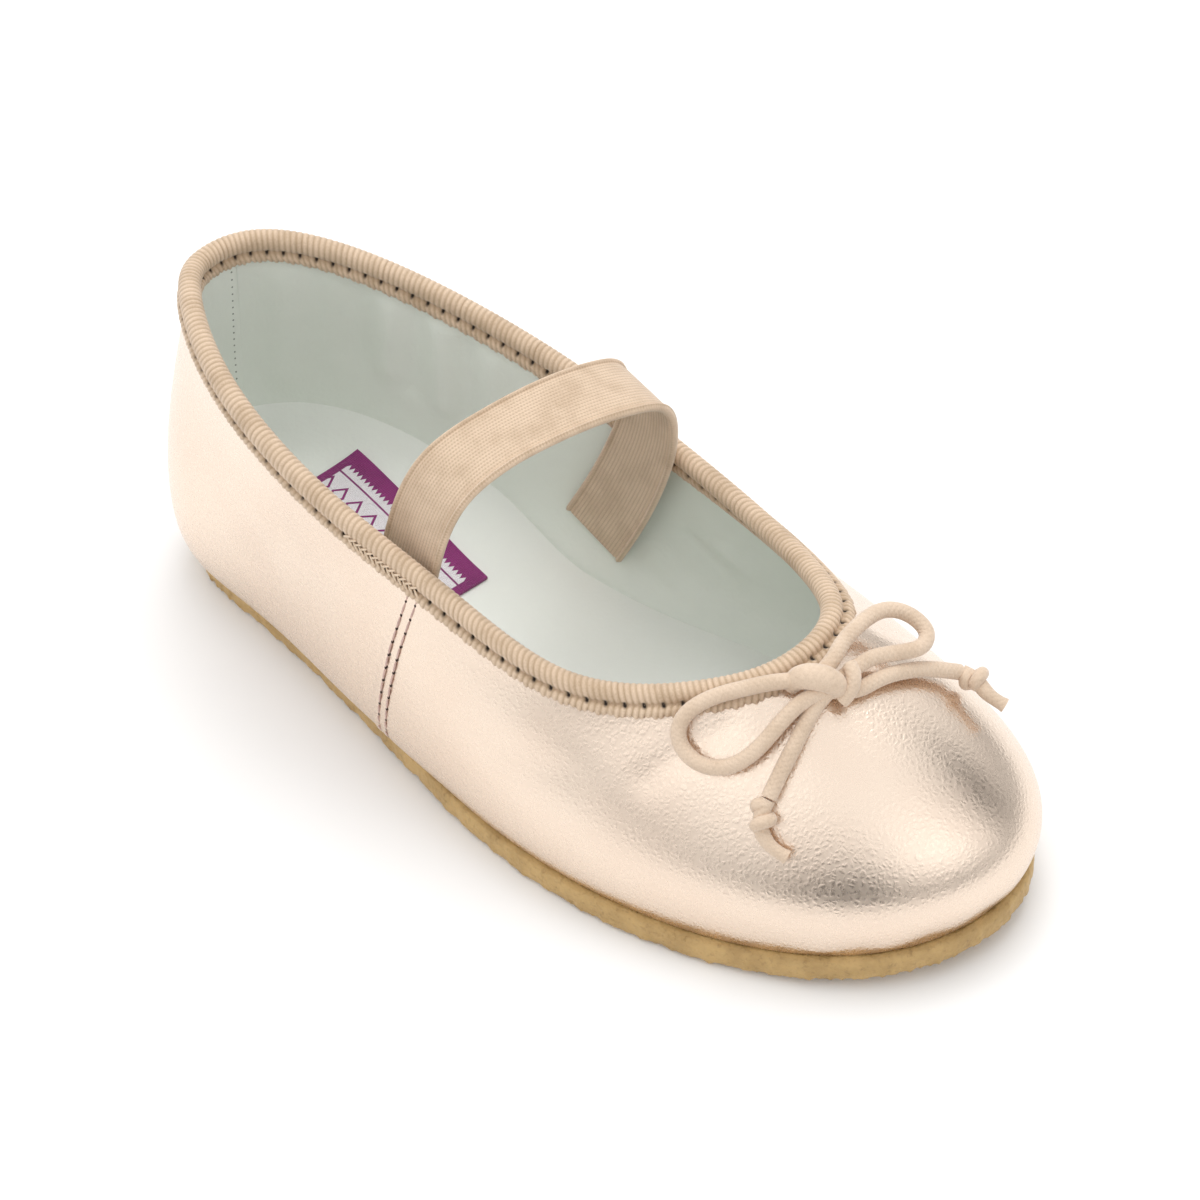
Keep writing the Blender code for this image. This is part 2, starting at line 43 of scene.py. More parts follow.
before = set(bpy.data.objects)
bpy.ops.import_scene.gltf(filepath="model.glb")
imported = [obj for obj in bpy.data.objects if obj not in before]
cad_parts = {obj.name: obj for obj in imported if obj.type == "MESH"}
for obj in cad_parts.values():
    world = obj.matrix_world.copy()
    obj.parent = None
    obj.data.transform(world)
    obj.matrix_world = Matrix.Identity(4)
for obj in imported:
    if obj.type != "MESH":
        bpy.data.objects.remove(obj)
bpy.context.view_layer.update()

MM = 0.001
HEEL_MIDDLE = 26.0
LENGTH = 156.0
SOLE_THICKNESS = 4.0
TOE_SPRING = 2.9
WALL = 1.8
GAP = 0.3
HEEL_CURL = 0.8
HEEL_CURL_END = 0.05
ARCH_LIFT = 0.6
ARCH_START, ARCH_END = 0.30, 0.56
SPRING_START = 0.74


class Slot(Enum):
    """The record's material slots."""

    UPPER = "upper_leather"
    SOLE = "sole_rubber"
    LINING = "lining_leather"
    BINDING = "binding_tape"
    STRAP = "strap_elastic"
    LABEL = "label_weave"
    CORD = "bow_cord"


class Side(Enum):
    """The two sides of the foot, as the sign of Y."""

    OUTER = -1.0
    INNER = 1.0


class Section(NamedTuple):
    """One section of the last: feather edge, swell of the wall and collar."""

    place: str
    along: float
    side: float
    welt: float
    bulge: float
    bulge_up: float
    collar_along: float
    collar_side: float
    collar_up: float
    fullness: float


SECTIONS = (
    Section("heel back", 0.000, -0.3, -1.0, 2.4, 11.0, 4.6, -0.8, 57.0, 0.05),
    Section("outer heel", 0.045, -12.5, -1.0, 2.6, 11.0, 10.0, -10.0, 57.4, 0.05),
    Section("outer heel front", 0.150, -16.9, -0.8, 2.6, 10.0, 26.6, -20.5, 54.6, 0.0),
    Section("outer waist", 0.320, -22.9, -0.4, 2.7, 9.0, 49.6, -25.7, 48.2, 0.0),
    Section("outer middle", 0.500, -29.8, 0.8, 2.0, 8.5, 72.4, -25.6, 41.0, 0.0),
    Section("outer ball", 0.690, -31.9, 1.4, 1.0, 8.0, 95.4, -24.4, 35.6, 0.0),
    Section("outer forefoot", 0.860, -25.8, 1.5, 0.4, 8.0, 112.6, -15.2, 36.5, 0.0),
    Section("outer toe", 0.964, -14.4, 1.4, 1.0, 8.0, 120.4, -6.9, 38.7, 0.1),
    Section("toe", 1.000, 1.2, 1.4, 2.4, 8.5, 122.2, 1.4, 39.5, 0.2),
    Section("inner toe", 0.960, 15.4, 1.4, 2.6, 8.5, 119.8, 8.9, 39.0, 0.2),
    Section("inner forefoot", 0.868, 24.2, 1.3, 2.0, 8.0, 111.8, 15.7, 36.7, 0.1),
    Section("inner ball", 0.720, 29.0, 0.8, 1.8, 8.5, 96.6, 22.0, 35.2, 0.1),
    Section("inner middle", 0.520, 25.0, 0.2, 2.4, 8.5, 75.8, 24.3, 39.4, 0.1),
    Section("inner waist", 0.330, 19.6, -0.4, 2.6, 9.5, 51.6, 23.8, 45.4, 0.0),
    Section("inner heel front", 0.150, 17.4, -0.8, 2.3, 10.5, 26.4, 18.9, 52.2, 0.0),
    Section("inner heel", 0.045, 11.9, -1.0, 2.4, 11.0, 10.0, 9.3, 57.2, 0.05),
)


def placed(points: Array) -> Array:
    """Points of the tables as places in the frame, in metres."""
    return (np.asarray(points, float) - np.array([HEEL_MIDDLE, 0.0, 0.0])) * MM


def unit(vectors: Array) -> Array:
    """Vectors scaled to length one."""
    return vectors / np.linalg.norm(vectors, axis=-1, keepdims=True)


def eased(low: float, high: float, value: Array) -> Array:
    """A smooth step from 0 at low to 1 at high: 3t^2 - 2t^3 of the share t between them."""
    part = np.clip((np.asarray(value, float) - low) / (high - low), 0.0, 1.0)
    return part * part * (3.0 - 2.0 * part)


def bell(distance: Array, width: float) -> Array:
    """A bell of height 1 at distance 0: exp(-(distance / width)^2)."""
    return np.exp(-((distance / width) ** 2))


def ring_curve(values: Sequence[float], place: Array) -> Array:
    """A closed cubic spline through one value a section.

    Args:
        values: the value at each section, in order round the ring.
        place: where to read it, counted in sections; it may run past the ring's end.

    Returns:
        The spline's value at each place.
    """
    values = np.asarray(values, float)
    count = len(values)
    system = 4.0 * np.eye(count) + np.roll(np.eye(count), 1, 0) + np.roll(np.eye(count), -1, 0)
    bend = np.linalg.solve(system, 6.0 * (np.roll(values, -1) - 2.0 * values + np.roll(values, 1)))
    place = np.mod(place, count)
    low = np.floor(place).astype(int) % count
    high = (low + 1) % count
    part = place - np.floor(place)
    curl = part * (1.0 - part) * ((2.0 - part) * bend[low] + (1.0 + part) * bend[high]) / 6.0
    return (1.0 - part) * values[low] + part * values[high] - curl


def control_weights(places: Array, controls: int) -> Array:
    """Weights of a clamped cubic B-spline's control points at places from 0 to 1."""
    degree = 3
    inner = np.linspace(0.0, 1.0, controls - degree + 1)
    knots = np.concatenate([np.zeros(degree), inner, np.ones(degree)])
    places = np.clip(np.asarray(places, float), 0.0, 1.0 - 1e-9)[..., None]
    weights = ((knots[:-1] <= places) & (places < knots[1:])).astype(float)
    for order in range(1, degree + 1):
        below = knots[order:-1] - knots[: -order - 1]
        above = knots[order + 1 :] - knots[1:-order]
        rise = (places - knots[: -order - 1]) / np.where(below > 0, below, 1.0)
        fall = (knots[order + 1 :] - places) / np.where(above > 0, above, 1.0)
        weights = weights[..., :-1] * rise * (below > 0) + weights[..., 1:] * fall * (above > 0)
    return weights


def open_curve(points: Sequence[Sequence[float]], steps: int) -> Array:
    """A natural cubic spline through points in order, read at even steps of its own length."""
    points = np.asarray(points, float)
    run = np.concatenate([[0.0], np.cumsum(np.linalg.norm(np.diff(points, axis=0), axis=1))])
    gaps = np.diff(run)
    rises = np.diff(points, axis=0) / gaps[:, None]
    system = np.eye(len(points))
    inner = np.arange(1, len(points) - 1)
    system[inner, inner - 1] = gaps[:-1]
    system[inner, inner] = 2.0 * (gaps[:-1] + gaps[1:])
    system[inner, inner + 1] = gaps[1:]
    wanted = np.zeros_like(points)
    wanted[1:-1] = 6.0 * np.diff(rises, axis=0)
    bend = np.linalg.solve(system, wanted)
    where = np.linspace(0.0, run[-1], 40 * len(points))
    low = np.clip(np.searchsorted(run, where, side="right") - 1, 0, len(points) - 2)
    span = gaps[low][:, None]
    part = (where - run[low])[:, None] / span
    rest = 1.0 - part
    curl = (rest**3 - rest) * bend[low] + (part**3 - part) * bend[low + 1]
    fine = rest * points[low] + part * points[low + 1] + curl * span**2 / 6.0
    length = np.concatenate([[0.0], np.cumsum(np.linalg.norm(np.diff(fine, axis=0), axis=1))])
    even = np.linspace(0.0, length[-1], steps)
    return np.stack([np.interp(even, length, fine[:, axis]) for axis in range(points.shape[1])], 1)


def floor_height(along: Array) -> Array:
    """Height of the sole's underside: flat at heel and ball, curled up at both ends."""
    part = np.asarray(along, float) / LENGTH
    heel = HEEL_CURL * np.clip(1.0 - part / HEEL_CURL_END, 0.0, None) ** 2
    waist = np.clip((part - ARCH_START) / (ARCH_END - ARCH_START), 0.0, 1.0)
    arch = ARCH_LIFT * np.sin(math.pi * waist) ** 2
    spring = TOE_SPRING * np.clip((part - SPRING_START) / (1.0 - SPRING_START), 0.0, None) ** 2
    return heel + arch + spring


@dataclass(frozen=True)
class Last:
    """The foot form: the upper's outer face as a function of a turn round it and a row up it."""

    sections: tuple[Section, ...] = SECTIONS
    nudge: float = 1e-3

    def column(self, name: str, turn: Array) -> Array:
        """One named column of the sections at turns from 0 to 1."""
        values = [getattr(section, name) for section in self.sections]
        return ring_curve(values, np.asarray(turn) * len(self.sections))

    def feather(self, turn: Array) -> Array:
        """The feather edge in plan."""
        return np.stack([self.column("along", turn) * LENGTH, self.column("side", turn)], -1)

    def away(self, turn: Array) -> Array:
        """Unit vectors in plan, square to the feather edge and pointing away from the foot."""
        run = unit(self.feather(turn + self.nudge) - self.feather(turn - self.nudge))
        return np.stack([run[..., 1], -run[..., 0]], -1)

    def base(self, turn: Array) -> Array:
        """Height of the wall's foot."""
        return floor_height(self.feather(turn)[..., 0]) + SOLE_THICKNESS + GAP

    def controls(self, turn: Array) -> list[Array]:
        """Control points from the feather edge to the collar, seven for each turn."""
        feather, away, base = self.feather(turn), self.away(turn), self.base(turn)
        bulge, bulge_up = self.column("bulge", turn), self.column("bulge_up", turn)
        full = self.column("fullness", turn)
        collar = np.stack([self.column("collar_along", turn), self.column("collar_side", turn)], -1)
        rise = self.column("collar_up", turn) - base

        def ring(push: Array, pull: Array, height: Array) -> Array:
            plan = feather + away * push[..., None] + (collar - feather) * pull[..., None]
            return np.concatenate([plan, (base + height)[..., None]], -1)

        def between(slim: float, round_: float) -> Array:
            return slim * (1.0 - full) + round_ * full

        none = np.zeros_like(bulge)
        return [
            ring(none, none, none),
            ring(0.8 * bulge, none, 0.3 * bulge_up),
            ring(1.2 * bulge, none, bulge_up),
            ring(0.9 * bulge, between(0.22, 0.05), between(0.48, 0.62) * rise),
            ring(0.4 * bulge, between(0.55, 0.30), between(0.72, 0.90) * rise),
            ring(none, between(0.88, 0.72), between(0.90, 0.97) * rise),
            ring(none, none + 1.0, rise),
        ]

    def face(self, turn: Array, row: Array) -> Array:
        """Points of the outer face; turn and row broadcast against each other."""
        controls = self.controls(np.asarray(turn, float))
        weights = control_weights(row, len(controls))
        return sum(weights[..., k, None] * ring for k, ring in enumerate(controls))

    def normal(self, turn: Array, row: Array) -> Array:
        """Outward unit vectors of the face: the run round the ring crossed with the rise."""
        row = np.asarray(row, float)
        run = self.face(turn + self.nudge, row) - self.face(turn - self.nudge, row)
        high = self.face(turn, np.clip(row + self.nudge, 0.0, 1.0))
        low = self.face(turn, np.clip(row - self.nudge, 0.0, 1.0))
        return unit(np.cross(run, high - low))

    def offset(self, turn: Array, row: Array, depth: Array | float) -> Array:
        """Points at a depth under the face; a negative depth lies outside it."""
        return self.face(turn, row) - self.normal(turn, row) * np.asarray(depth)[..., None]

    def row_below(self, turn: Array, distance: Array | float) -> Array:
        """The rows that lie a distance down the wall from the collar.

        Args:
            turn: turns round the ring, one a column.
            distance: millimetres down the wall, one number, or an array whose last axis is turn's.

        Returns:
            The rows, in distance's shape with turn's as its last axis.
        """
        rows = np.linspace(0.5, 1.0, 61)
        line = self.face(turn[None], rows[:, None])
        steps = np.linalg.norm(np.diff(line, axis=0), axis=-1)
        below = np.concatenate([np.cumsum(steps[::-1], axis=0)[::-1], np.zeros((1, len(turn)))])
        distance = np.broadcast_to(distance, np.broadcast_shapes(np.shape(distance), turn.shape))
        flat = distance.reshape(-1, len(turn))
        place = (below[:, None] > flat[None]).sum(axis=0).clip(1, len(rows) - 1)
        column = np.arange(len(turn))[None]
        low, high = below[place - 1, column], below[place, column]
        share = np.clip((low - flat) / (low - high), 0.0, 1.0)
        return (rows[place - 1] + share * (rows[1] - rows[0])).reshape(distance.shape)

    def beside_collar(self, turn: Array, out: Array, down: Array) -> Array:
        """Points off the face by `out`, and `down` the wall from the collar or above it."""
        row = self.row_below(turn, np.clip(down, 0.0, None))
        top = np.ones_like(turn)
        rise = unit(self.face(turn, top) - self.face(turn, self.row_below(turn, 2.0)))
        above = np.clip(-down, 0.0, None)[..., None]
        return self.offset(turn, row, -out) + rise * above

    def even_turns(self, count: int) -> Array:
        """Turns that lie at even distances round the collar, from the back of the heel."""
        fine = np.linspace(0.0, 1.0, 4001)
        line = self.face(fine, np.ones_like(fine))
        run = np.concatenate([[0.0], np.cumsum(np.linalg.norm(np.diff(line, axis=0), axis=1))])
        return np.interp(np.arange(count) * run[-1] / count, run, fine)

    def sides(self, along: Array) -> tuple[Array, Array]:
        """The feather edge's outer and inner side at places along the foot."""
        turn = np.linspace(0.0, 1.0, 801)
        edge = self.feather(turn)
        half = len(turn) // 2
        low = np.interp(along, edge[: half + 1, 0], edge[: half + 1, 1])
        high = np.interp(along, edge[half:, 0][::-1], edge[half:, 1][::-1])
        return low, high


LAST = Last()


@dataclass
class Skin:
    """A mesh in the making: points in millimetres, quads, and a UV pair for each corner."""

    points: Array
    quads: Array
    uv: Array
    ends: list[list[int]] = field(default_factory=list)

    @classmethod
    def lattice(cls, points: Array, u: Array, v: Array, wrap: bool = False, ring: bool = False) -> Skin:
        """Quads over a grid of points.

        Args:
            points: rows by columns by three.
            u: the first UV number of each column, and one more where the columns wrap.
            v: the second UV number of each row, and one more where the rows close on themselves.
            wrap: join the last column to the first.
            ring: join the last row to the first.

        Returns:
            The skin, its quads in row order.
        """
        rows, columns = points.shape[:2]
        row = np.arange(rows if ring else rows - 1)[:, None]
        column = np.arange(columns if wrap else columns - 1)[None]
        corners = [(row, column), (row, column + 1), (row + 1, column + 1), (row + 1, column)]
        quads = [(r % rows) * columns + (c % columns) for r, c in corners]
        pairs = [np.stack(np.broadcast_arrays(u[c], v[r]), -1) for r, c in corners]
        quads = np.stack(quads, -1).reshape(-1, 4)
        uv = np.stack(pairs, -2).reshape(-1, 4, 2)
        return cls(points.reshape(-1, 3), quads, uv)

    def closed_ends(self, sides: int) -> Skin:
        """The same skin with its first and last ring of corners filled flat."""
        count = len(self.points)
        self.ends = [list(range(sides))[::-1], list(range(count - sides, count))]
        return self

    def with_(self, *others: Skin) -> Skin:
        """This skin and others as one."""
        skins = [self, *others]
        starts = np.cumsum([0] + [len(skin.points) for skin in skins[:-1]])
        return Skin(
            np.concatenate([skin.points for skin in skins]),
            np.concatenate([skin.quads + start for skin, start in zip(skins, starts)]),
            np.concatenate([skin.uv for skin in skins]),
            [[p + int(s) for p in end] for skin, s in zip(skins, starts) for end in skin.ends],
        )

    def volume(self) -> float:
        """Signed volume inside the quads; positive where they face outwards."""
        a, b, c, d = (self.points[self.quads[:, k]] for k in range(4))
        middle = self.points.mean(axis=0)
        one = np.einsum("ij,ij->i", a - middle, np.cross(b - middle, c - middle))
        two = np.einsum("ij,ij->i", a - middle, np.cross(c - middle, d - middle))
        return float((one + two).sum() / 6.0)

    def build(self, name: str, material: bpy.types.Material, slot: Slot, *nodes: str) -> bpy.types.Object:
        """Make the mesh object, facing outwards, riding on the shoe.

        Args:
            name: the piece's name.
            material: its finish.
            slot: the record's slot that the finish stands for; not used.
            nodes: the solids that the piece replaces.

        Returns:
            The new object.
        """
        inside_out = self.volume() < 0.0
        quads = self.quads[:, ::-1] if inside_out else self.quads
        uv = self.uv[:, ::-1] if inside_out else self.uv
        ends = [end[::-1] if inside_out else end for end in self.ends]
        mesh = bpy.data.meshes.new(name)
        mesh.from_pydata(placed(self.points).tolist(), [], quads.tolist() + ends)
        pairs = np.zeros((len(mesh.loops), 2))
        pairs[: uv.size // 2] = uv.reshape(-1, 2)
        mesh.uv_layers.new(name="UVMap").data.foreach_set("uv", pairs.ravel())
        mesh.shade_smooth()
        mesh.set_sharp_from_angle(angle=math.radians(60.0))
        mesh.materials.append(material)
        piece = bpy.data.objects.new(name, mesh)
        bpy.context.collection.objects.link(piece)
        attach(piece, "root")
        if nodes:
            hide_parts(*nodes)
        log.info("%s: %d faces", name, len(mesh.polygons))
        return piece


def swept(path: Array, radius: Array | float, sides: int, hint: Sequence[float], squash: float = 1.0) -> Skin:
    """A round tube along a path.

    The ring at each point is radius * (cos a * up + sin a * across), where across is square to
    the path and the hint, and up is square to both.

    Args:
        path: points in millimetres.
        radius: one radius, or one for each point.
        sides: corners in a ring.
        hint: a direction that the path never runs along.
        squash: the ring's height along up as a part of its width.

    Returns:
        The tube with flat ends; U is the distance along it and V the share of a turn round it.
    """
    along = unit(np.gradient(path, axis=0))
    across = unit(np.cross(along, np.asarray(hint, float)))
    up = np.cross(across, along) * squash
    angle = np.arange(sides) * 2.0 * math.pi / sides
    spokes = np.cos(angle)[:, None] * up[:, None] + np.sin(angle)[:, None] * across[:, None]
    radius = np.broadcast_to(radius, len(path))
    points = path[:, None] + spokes * radius[:, None, None]
    run = np.concatenate([[0.0], np.cumsum(np.linalg.norm(np.diff(path, axis=0), axis=1))])
    skin = Skin.lattice(points, np.linspace(0.0, 1.0, sides + 1), run, wrap=True)
    skin.uv = skin.uv[..., ::-1]
    return skin.closed_ends(sides)


def beads(places: Array, along: Array, out: Array, half: Array, rings: int = 7, sides: int = 6) -> Skin:
    """Many small ellipsoids in one skin, such as stitches.

    Each is place + sin(t) * long * along + cos(t) * (cos a * out * high + sin a * across * wide).

    Args:
        places: middles, one a bead.
        along: unit vectors of their long axes.
        out: unit vectors away from the surface.
        half: half length, half width and half height, three numbers.
        rings: rings along a bead.
        sides: corners round it.

    Returns:
        All the beads; U and V are 0 to 1 over each.
    """
    across = unit(np.cross(out, along))
    tilt = np.linspace(-0.47, 0.47, rings) * math.pi
    angle = np.arange(sides) * 2.0 * math.pi / sides
    reach = np.sin(tilt)[None, :, None, None] * half[0] * along[:, None, None]
    spoke = np.cos(angle)[:, None] * out[:, None, None] * half[2]
    spoke = spoke + np.sin(angle)[:, None] * across[:, None, None] * half[1]
    points = places[:, None, None] + reach + np.cos(tilt)[None, :, None, None] * spoke
    one = Skin.lattice(points[0], np.linspace(0.0, 1.0, sides + 1), np.linspace(0.0, 1.0, rings), wrap=True)
    one = one.closed_ends(sides)
    starts = np.arange(len(places)) * rings * sides
    quads = (one.quads[None] + starts[:, None, None]).reshape(-1, 4)
    ends = [[p + int(start) for p in end] for start in starts for end in one.ends]
    return Skin(points.reshape(-1, 3), quads, np.tile(one.uv, (len(places), 1, 1)), ends)


class Wiring:
    """Short ways of adding and joining nodes in one tree."""

    def __init__(self, tree: bpy.types.NodeTree) -> None:
        """Work in this tree."""
        self.tree = tree

    def put(self, socket: bpy.types.NodeSocket, value: object) -> None:
        """Link a socket to another, or set its own value."""
        if isinstance(value, bpy.types.NodeSocket):
            self.tree.links.new(value, socket)
        else:
            socket.default_value = value

    def node(self, kind: str, inputs: dict[str | int, object] | None = None, **settings: object) -> bpy.types.Node:
        """Add a node, with settings on the node and values or links on its inputs."""
        node = self.tree.nodes.new(kind)
        for name, value in settings.items():
            setattr(node, name, value)
        for name, value in (inputs or {}).items():
            self.put(node.inputs[name], value)
        return node

    def math(self, operation: str, *values: object, clamp: bool = False) -> bpy.types.NodeSocket:
        """One step of arithmetic."""
        node = self.node("ShaderNodeMath", dict(enumerate(values)), operation=operation, use_clamp=clamp)
        return node.outputs[0]

    def between(self, value: object, low: float, high: object, start: float = 0.0, stop: float = 1.0) -> bpy.types.NodeSocket:
        """A value's place between low and high, smoothly, as a number from start to stop."""
        inputs = {"Value": value, "From Min": low, "From Max": high, "To Min": start, "To Max": stop}
        return self.node("ShaderNodeMapRange", inputs, interpolation_type="SMOOTHSTEP").outputs["Result"]

    def blend(self, share: object, one: object, two: object) -> bpy.types.NodeSocket:
        """A colour between two."""
        node = self.node("ShaderNodeMix", data_type="RGBA")
        self.put(node.inputs["Factor"], share)
        self.put(node.inputs[6], one)
        self.put(node.inputs[7], two)
        return node.outputs[2]

    def noise(self, vector: object, scale: float, detail: float = 2.0, rough: float = 0.5) -> bpy.types.NodeSocket:
        """Soft noise from 0 to 1."""
        inputs = {"Vector": vector, "Scale": scale, "Detail": detail, "Roughness": rough}
        return self.node("ShaderNodeTexNoise", inputs).outputs["Fac"]

    def wave(self, phase: object) -> bpy.types.NodeSocket:
        """Rounded ribs from 0 to 1, one for each whole number of the phase: |cos(pi * phase)|."""
        return self.math("ABSOLUTE", self.math("COSINE", self.math("MULTIPLY", phase, math.pi)))

    def bump(self, height: object, distance: float, strength: float = 1.0, normal: object = None) -> bpy.types.NodeSocket:
        """A bump in metres of height."""
        inputs = {"Height": height, "Distance": distance, "Strength": strength}
        if normal is not None:
            inputs["Normal"] = normal
        return self.node("ShaderNodeBump", inputs).outputs["Normal"]

    def place(self) -> bpy.types.NodeSocket:
        """Object coordinates, in metres."""
        return self.node("ShaderNodeTexCoord").outputs["Object"]

    def uv(self) -> tuple[bpy.types.NodeSocket, bpy.types.NodeSocket]:
        """The piece's own U and V."""
        split = self.node("ShaderNodeSeparateXYZ", {0: self.node("ShaderNodeUVMap", uv_map="UVMap").outputs[0]})
        return split.outputs[0], split.outputs[1]


def colour(red: float, green: float, blue: float) -> tuple[float, float, float, float]:
    """A linear colour for a socket."""
    return red, green, blue, 1.0


def group(name: str, inputs: dict[str, tuple[str, object]], outputs: dict[str, str]) -> tuple[Wiring, bpy.types.Node, bpy.types.Node]:
    """A new shader node group with named sockets, and its two end nodes."""
    tree = bpy.data.node_groups.new(name, "ShaderNodeTree")
    for socket, (kind, default) in inputs.items():
        made = tree.interface.new_socket(socket, in_out="INPUT", socket_type=kind)
        if default is not None:
            made.default_value = default
    for socket, kind in outputs.items():
        tree.interface.new_socket(socket, in_out="OUTPUT", socket_type=kind)
    wiring = Wiring(tree)
    return wiring, wiring.node("NodeGroupInput"), wiring.node("NodeGroupOutput")


FLOAT, VECTOR, COLOUR = "NodeSocketFloat", "NodeSocketVector", "NodeSocketColor"


def hide_grain_group() -> bpy.types.NodeTree:
    """Leather's grain: rounded pebbles with soft grooves between them, over a fine uneven peel."""
    wiring, given, result = group(
        "hide_grain",
        {"Vector": (VECTOR, None), "Scale": (FLOAT, 1000.0), "Softness": (FLOAT, 0.4)},
        {"Height": FLOAT},
    )
    vector, scale = given.outputs["Vector"], given.outputs["Scale"]
    warp = wiring.node("ShaderNodeTexNoise", {"Vector": vector, "Scale": scale, "Detail": 2.0})
    shift = wiring.node("ShaderNodeVectorMath", {0: warp.outputs["Color"], "Scale": 0.0006}, operation="SCALE")
    moved = wiring.node("ShaderNodeVectorMath", {0: vector, 1: shift.outputs[0]}, operation="ADD").outputs[0]
    cells = wiring.node("ShaderNodeTexVoronoi", {"Vector": moved, "Scale": scale}, feature="DISTANCE_TO_EDGE")
    pebble = wiring.between(cells.outputs["Distance"], 0.0, given.outputs["Softness"])
    peel = wiring.node("ShaderNodeTexNoise", {"Vector": vector, "Scale": scale, "Detail": 3.0, "Roughness": 0.55})
    peel = wiring.math("MULTIPLY", peel.outputs["Fac"], 1.4)
    wiring.put(result.inputs["Height"], wiring.math("ADD", wiring.math("MULTIPLY", pebble, 0.55), peel))
    return wiring.tree


def yarn_group() -> bpy.types.NodeTree:
    """Yarn's surface: a tint that wanders, and short fibres as a fine height."""
    wiring, given, result = group(
        "yarn",
        {"Vector": (VECTOR, None), "Colour": (COLOUR, colour(1, 1, 1)), "Dark": (COLOUR, colour(0, 0, 0))},
        {"Colour": COLOUR, "Height": FLOAT},
    )
    vector = given.outputs["Vector"]
    wander = wiring.noise(vector, 240.0, 3.0)
    fibres = wiring.noise(vector, 5200.0, 3.0, 0.65)
    share = wiring.math("ADD", wiring.between(wander, 0.35, 0.75, 0.0, 0.35), wiring.between(fibres, 0.4, 0.7, 0.0, 0.3))
    wiring.put(result.inputs["Colour"], wiring.blend(share, given.outputs["Colour"], given.outputs["Dark"]))
    wiring.put(result.inputs["Height"], fibres)
    return wiring.tree


GROUPS = {"hide_grain": hide_grain_group(), "yarn": yarn_group()}


@dataclass(frozen=True)
class Finish:
    """A Principled finish's plain numbers; its subclasses add the pattern."""

    name: str
    base: tuple[float, float, float]
    dark: tuple[float, float, float]
    roughness: float = 0.5
    metallic: float = 0.0
    specular: float = 0.5
    sheen: float = 0.0
    coat: float = 0.0
    coat_roughness: float = 0.3
    subsurface: float = 0.0

    def start(self) -> tuple[bpy.types.Material, Wiring, bpy.types.Node]:
        """The material, its wiring and its Principled shader, with the plain numbers set."""
        material = bpy.data.materials.new(self.name)
        material.use_nodes = True
        wiring = Wiring(material.node_tree)
        shader = material.node_tree.nodes["Principled BSDF"]
        values = {
            "Base Color": colour(*self.base),
            "Roughness": self.roughness,
            "Metallic": self.metallic,
            "Specular IOR Level": self.specular,
            "Sheen Weight": self.sheen,
            "Sheen Roughness": 0.5,
            "Coat Weight": self.coat,
            "Coat Roughness": self.coat_roughness,
            "Subsurface Weight": self.subsurface,
        }
        for socket, value in values.items():
            shader.inputs[socket].default_value = value
        shader.inputs["Subsurface Radius"].default_value = (0.004, 0.003, 0.002)
        return material, wiring, shader

    def use(self, wiring: Wiring, name: str, inputs: dict[str, object]) -> bpy.types.Node:
        """Place a shared node group in the material."""
        node = wiring.node("ShaderNodeGroup", node_tree=GROUPS[name])
        for socket, value in inputs.items():
            wiring.put(node.inputs[socket], value)
        return node

    def build(self) -> bpy.types.Material:
        """The finished material."""
        raise NotImplementedError


@dataclass(frozen=True)
class Leather(Finish):
    """Grained leather, foiled or plain."""

    grain_scale: float = 1150.0
    grain_depth: float = 0.00003
    softness: float = 0.4
    mottle: float = 0.25

    def build(self) -> bpy.types.Material:
        """Pebbled bump, a slow mottle in the colour, and roughness that follows the grain."""
        material, wiring, shader = self.start()
        place = wiring.place()
        grain = self.use(
            wiring, "hide_grain", {"Vector": place, "Scale": self.grain_scale, "Softness": self.softness}
        ).outputs["Height"]
        slow = wiring.noise(place, 55.0, 3.0)
        tint = wiring.between(slow, 0.35, 0.7, 0.0, self.mottle)
        wiring.put(shader.inputs["Base Color"], wiring.blend(tint, colour(*self.base), colour(*self.dark)))
        rough = wiring.between(grain, 0.4, 1.3, self.roughness + 0.05, self.roughness - 0.03)
        wiring.put(shader.inputs["Roughness"], rough)
        wiring.put(shader.inputs["Normal"], wiring.bump(grain, self.grain_depth))
        return material


@dataclass(frozen=True)
class Yarn(Finish):
    """Cotton or elastic yarn: a fuzzy tint and fine fibres."""

    twist: float = 0.0
    twist_depth: float = 0.00008

    def build(self) -> bpy.types.Material:
        """Fibre bump, and a braid's slanted strands where the piece is a cord."""
        material, wiring, shader = self.start()
        inputs = {"Vector": wiring.place(), "Colour": colour(*self.base), "Dark": colour(*self.dark)}
        yarn = self.use(wiring, "yarn", inputs)
        wiring.put(shader.inputs["Base Color"], yarn.outputs["Colour"])
        normal = wiring.bump(yarn.outputs["Height"], 0.00003)
        if self.twist > 0.0:
            along, round_ = wiring.uv()
            lean = wiring.math("MULTIPLY", along, self.twist)
            one = wiring.wave(wiring.math("ADD", wiring.math("MULTIPLY", round_, 6.0), lean))
            two = wiring.wave(wiring.math("SUBTRACT", wiring.math("MULTIPLY", round_, 6.0), lean))
            normal = wiring.bump(wiring.math("MULTIPLY", one, two), self.twist_depth, normal=normal)
        wiring.put(shader.inputs["Normal"], normal)
        return material


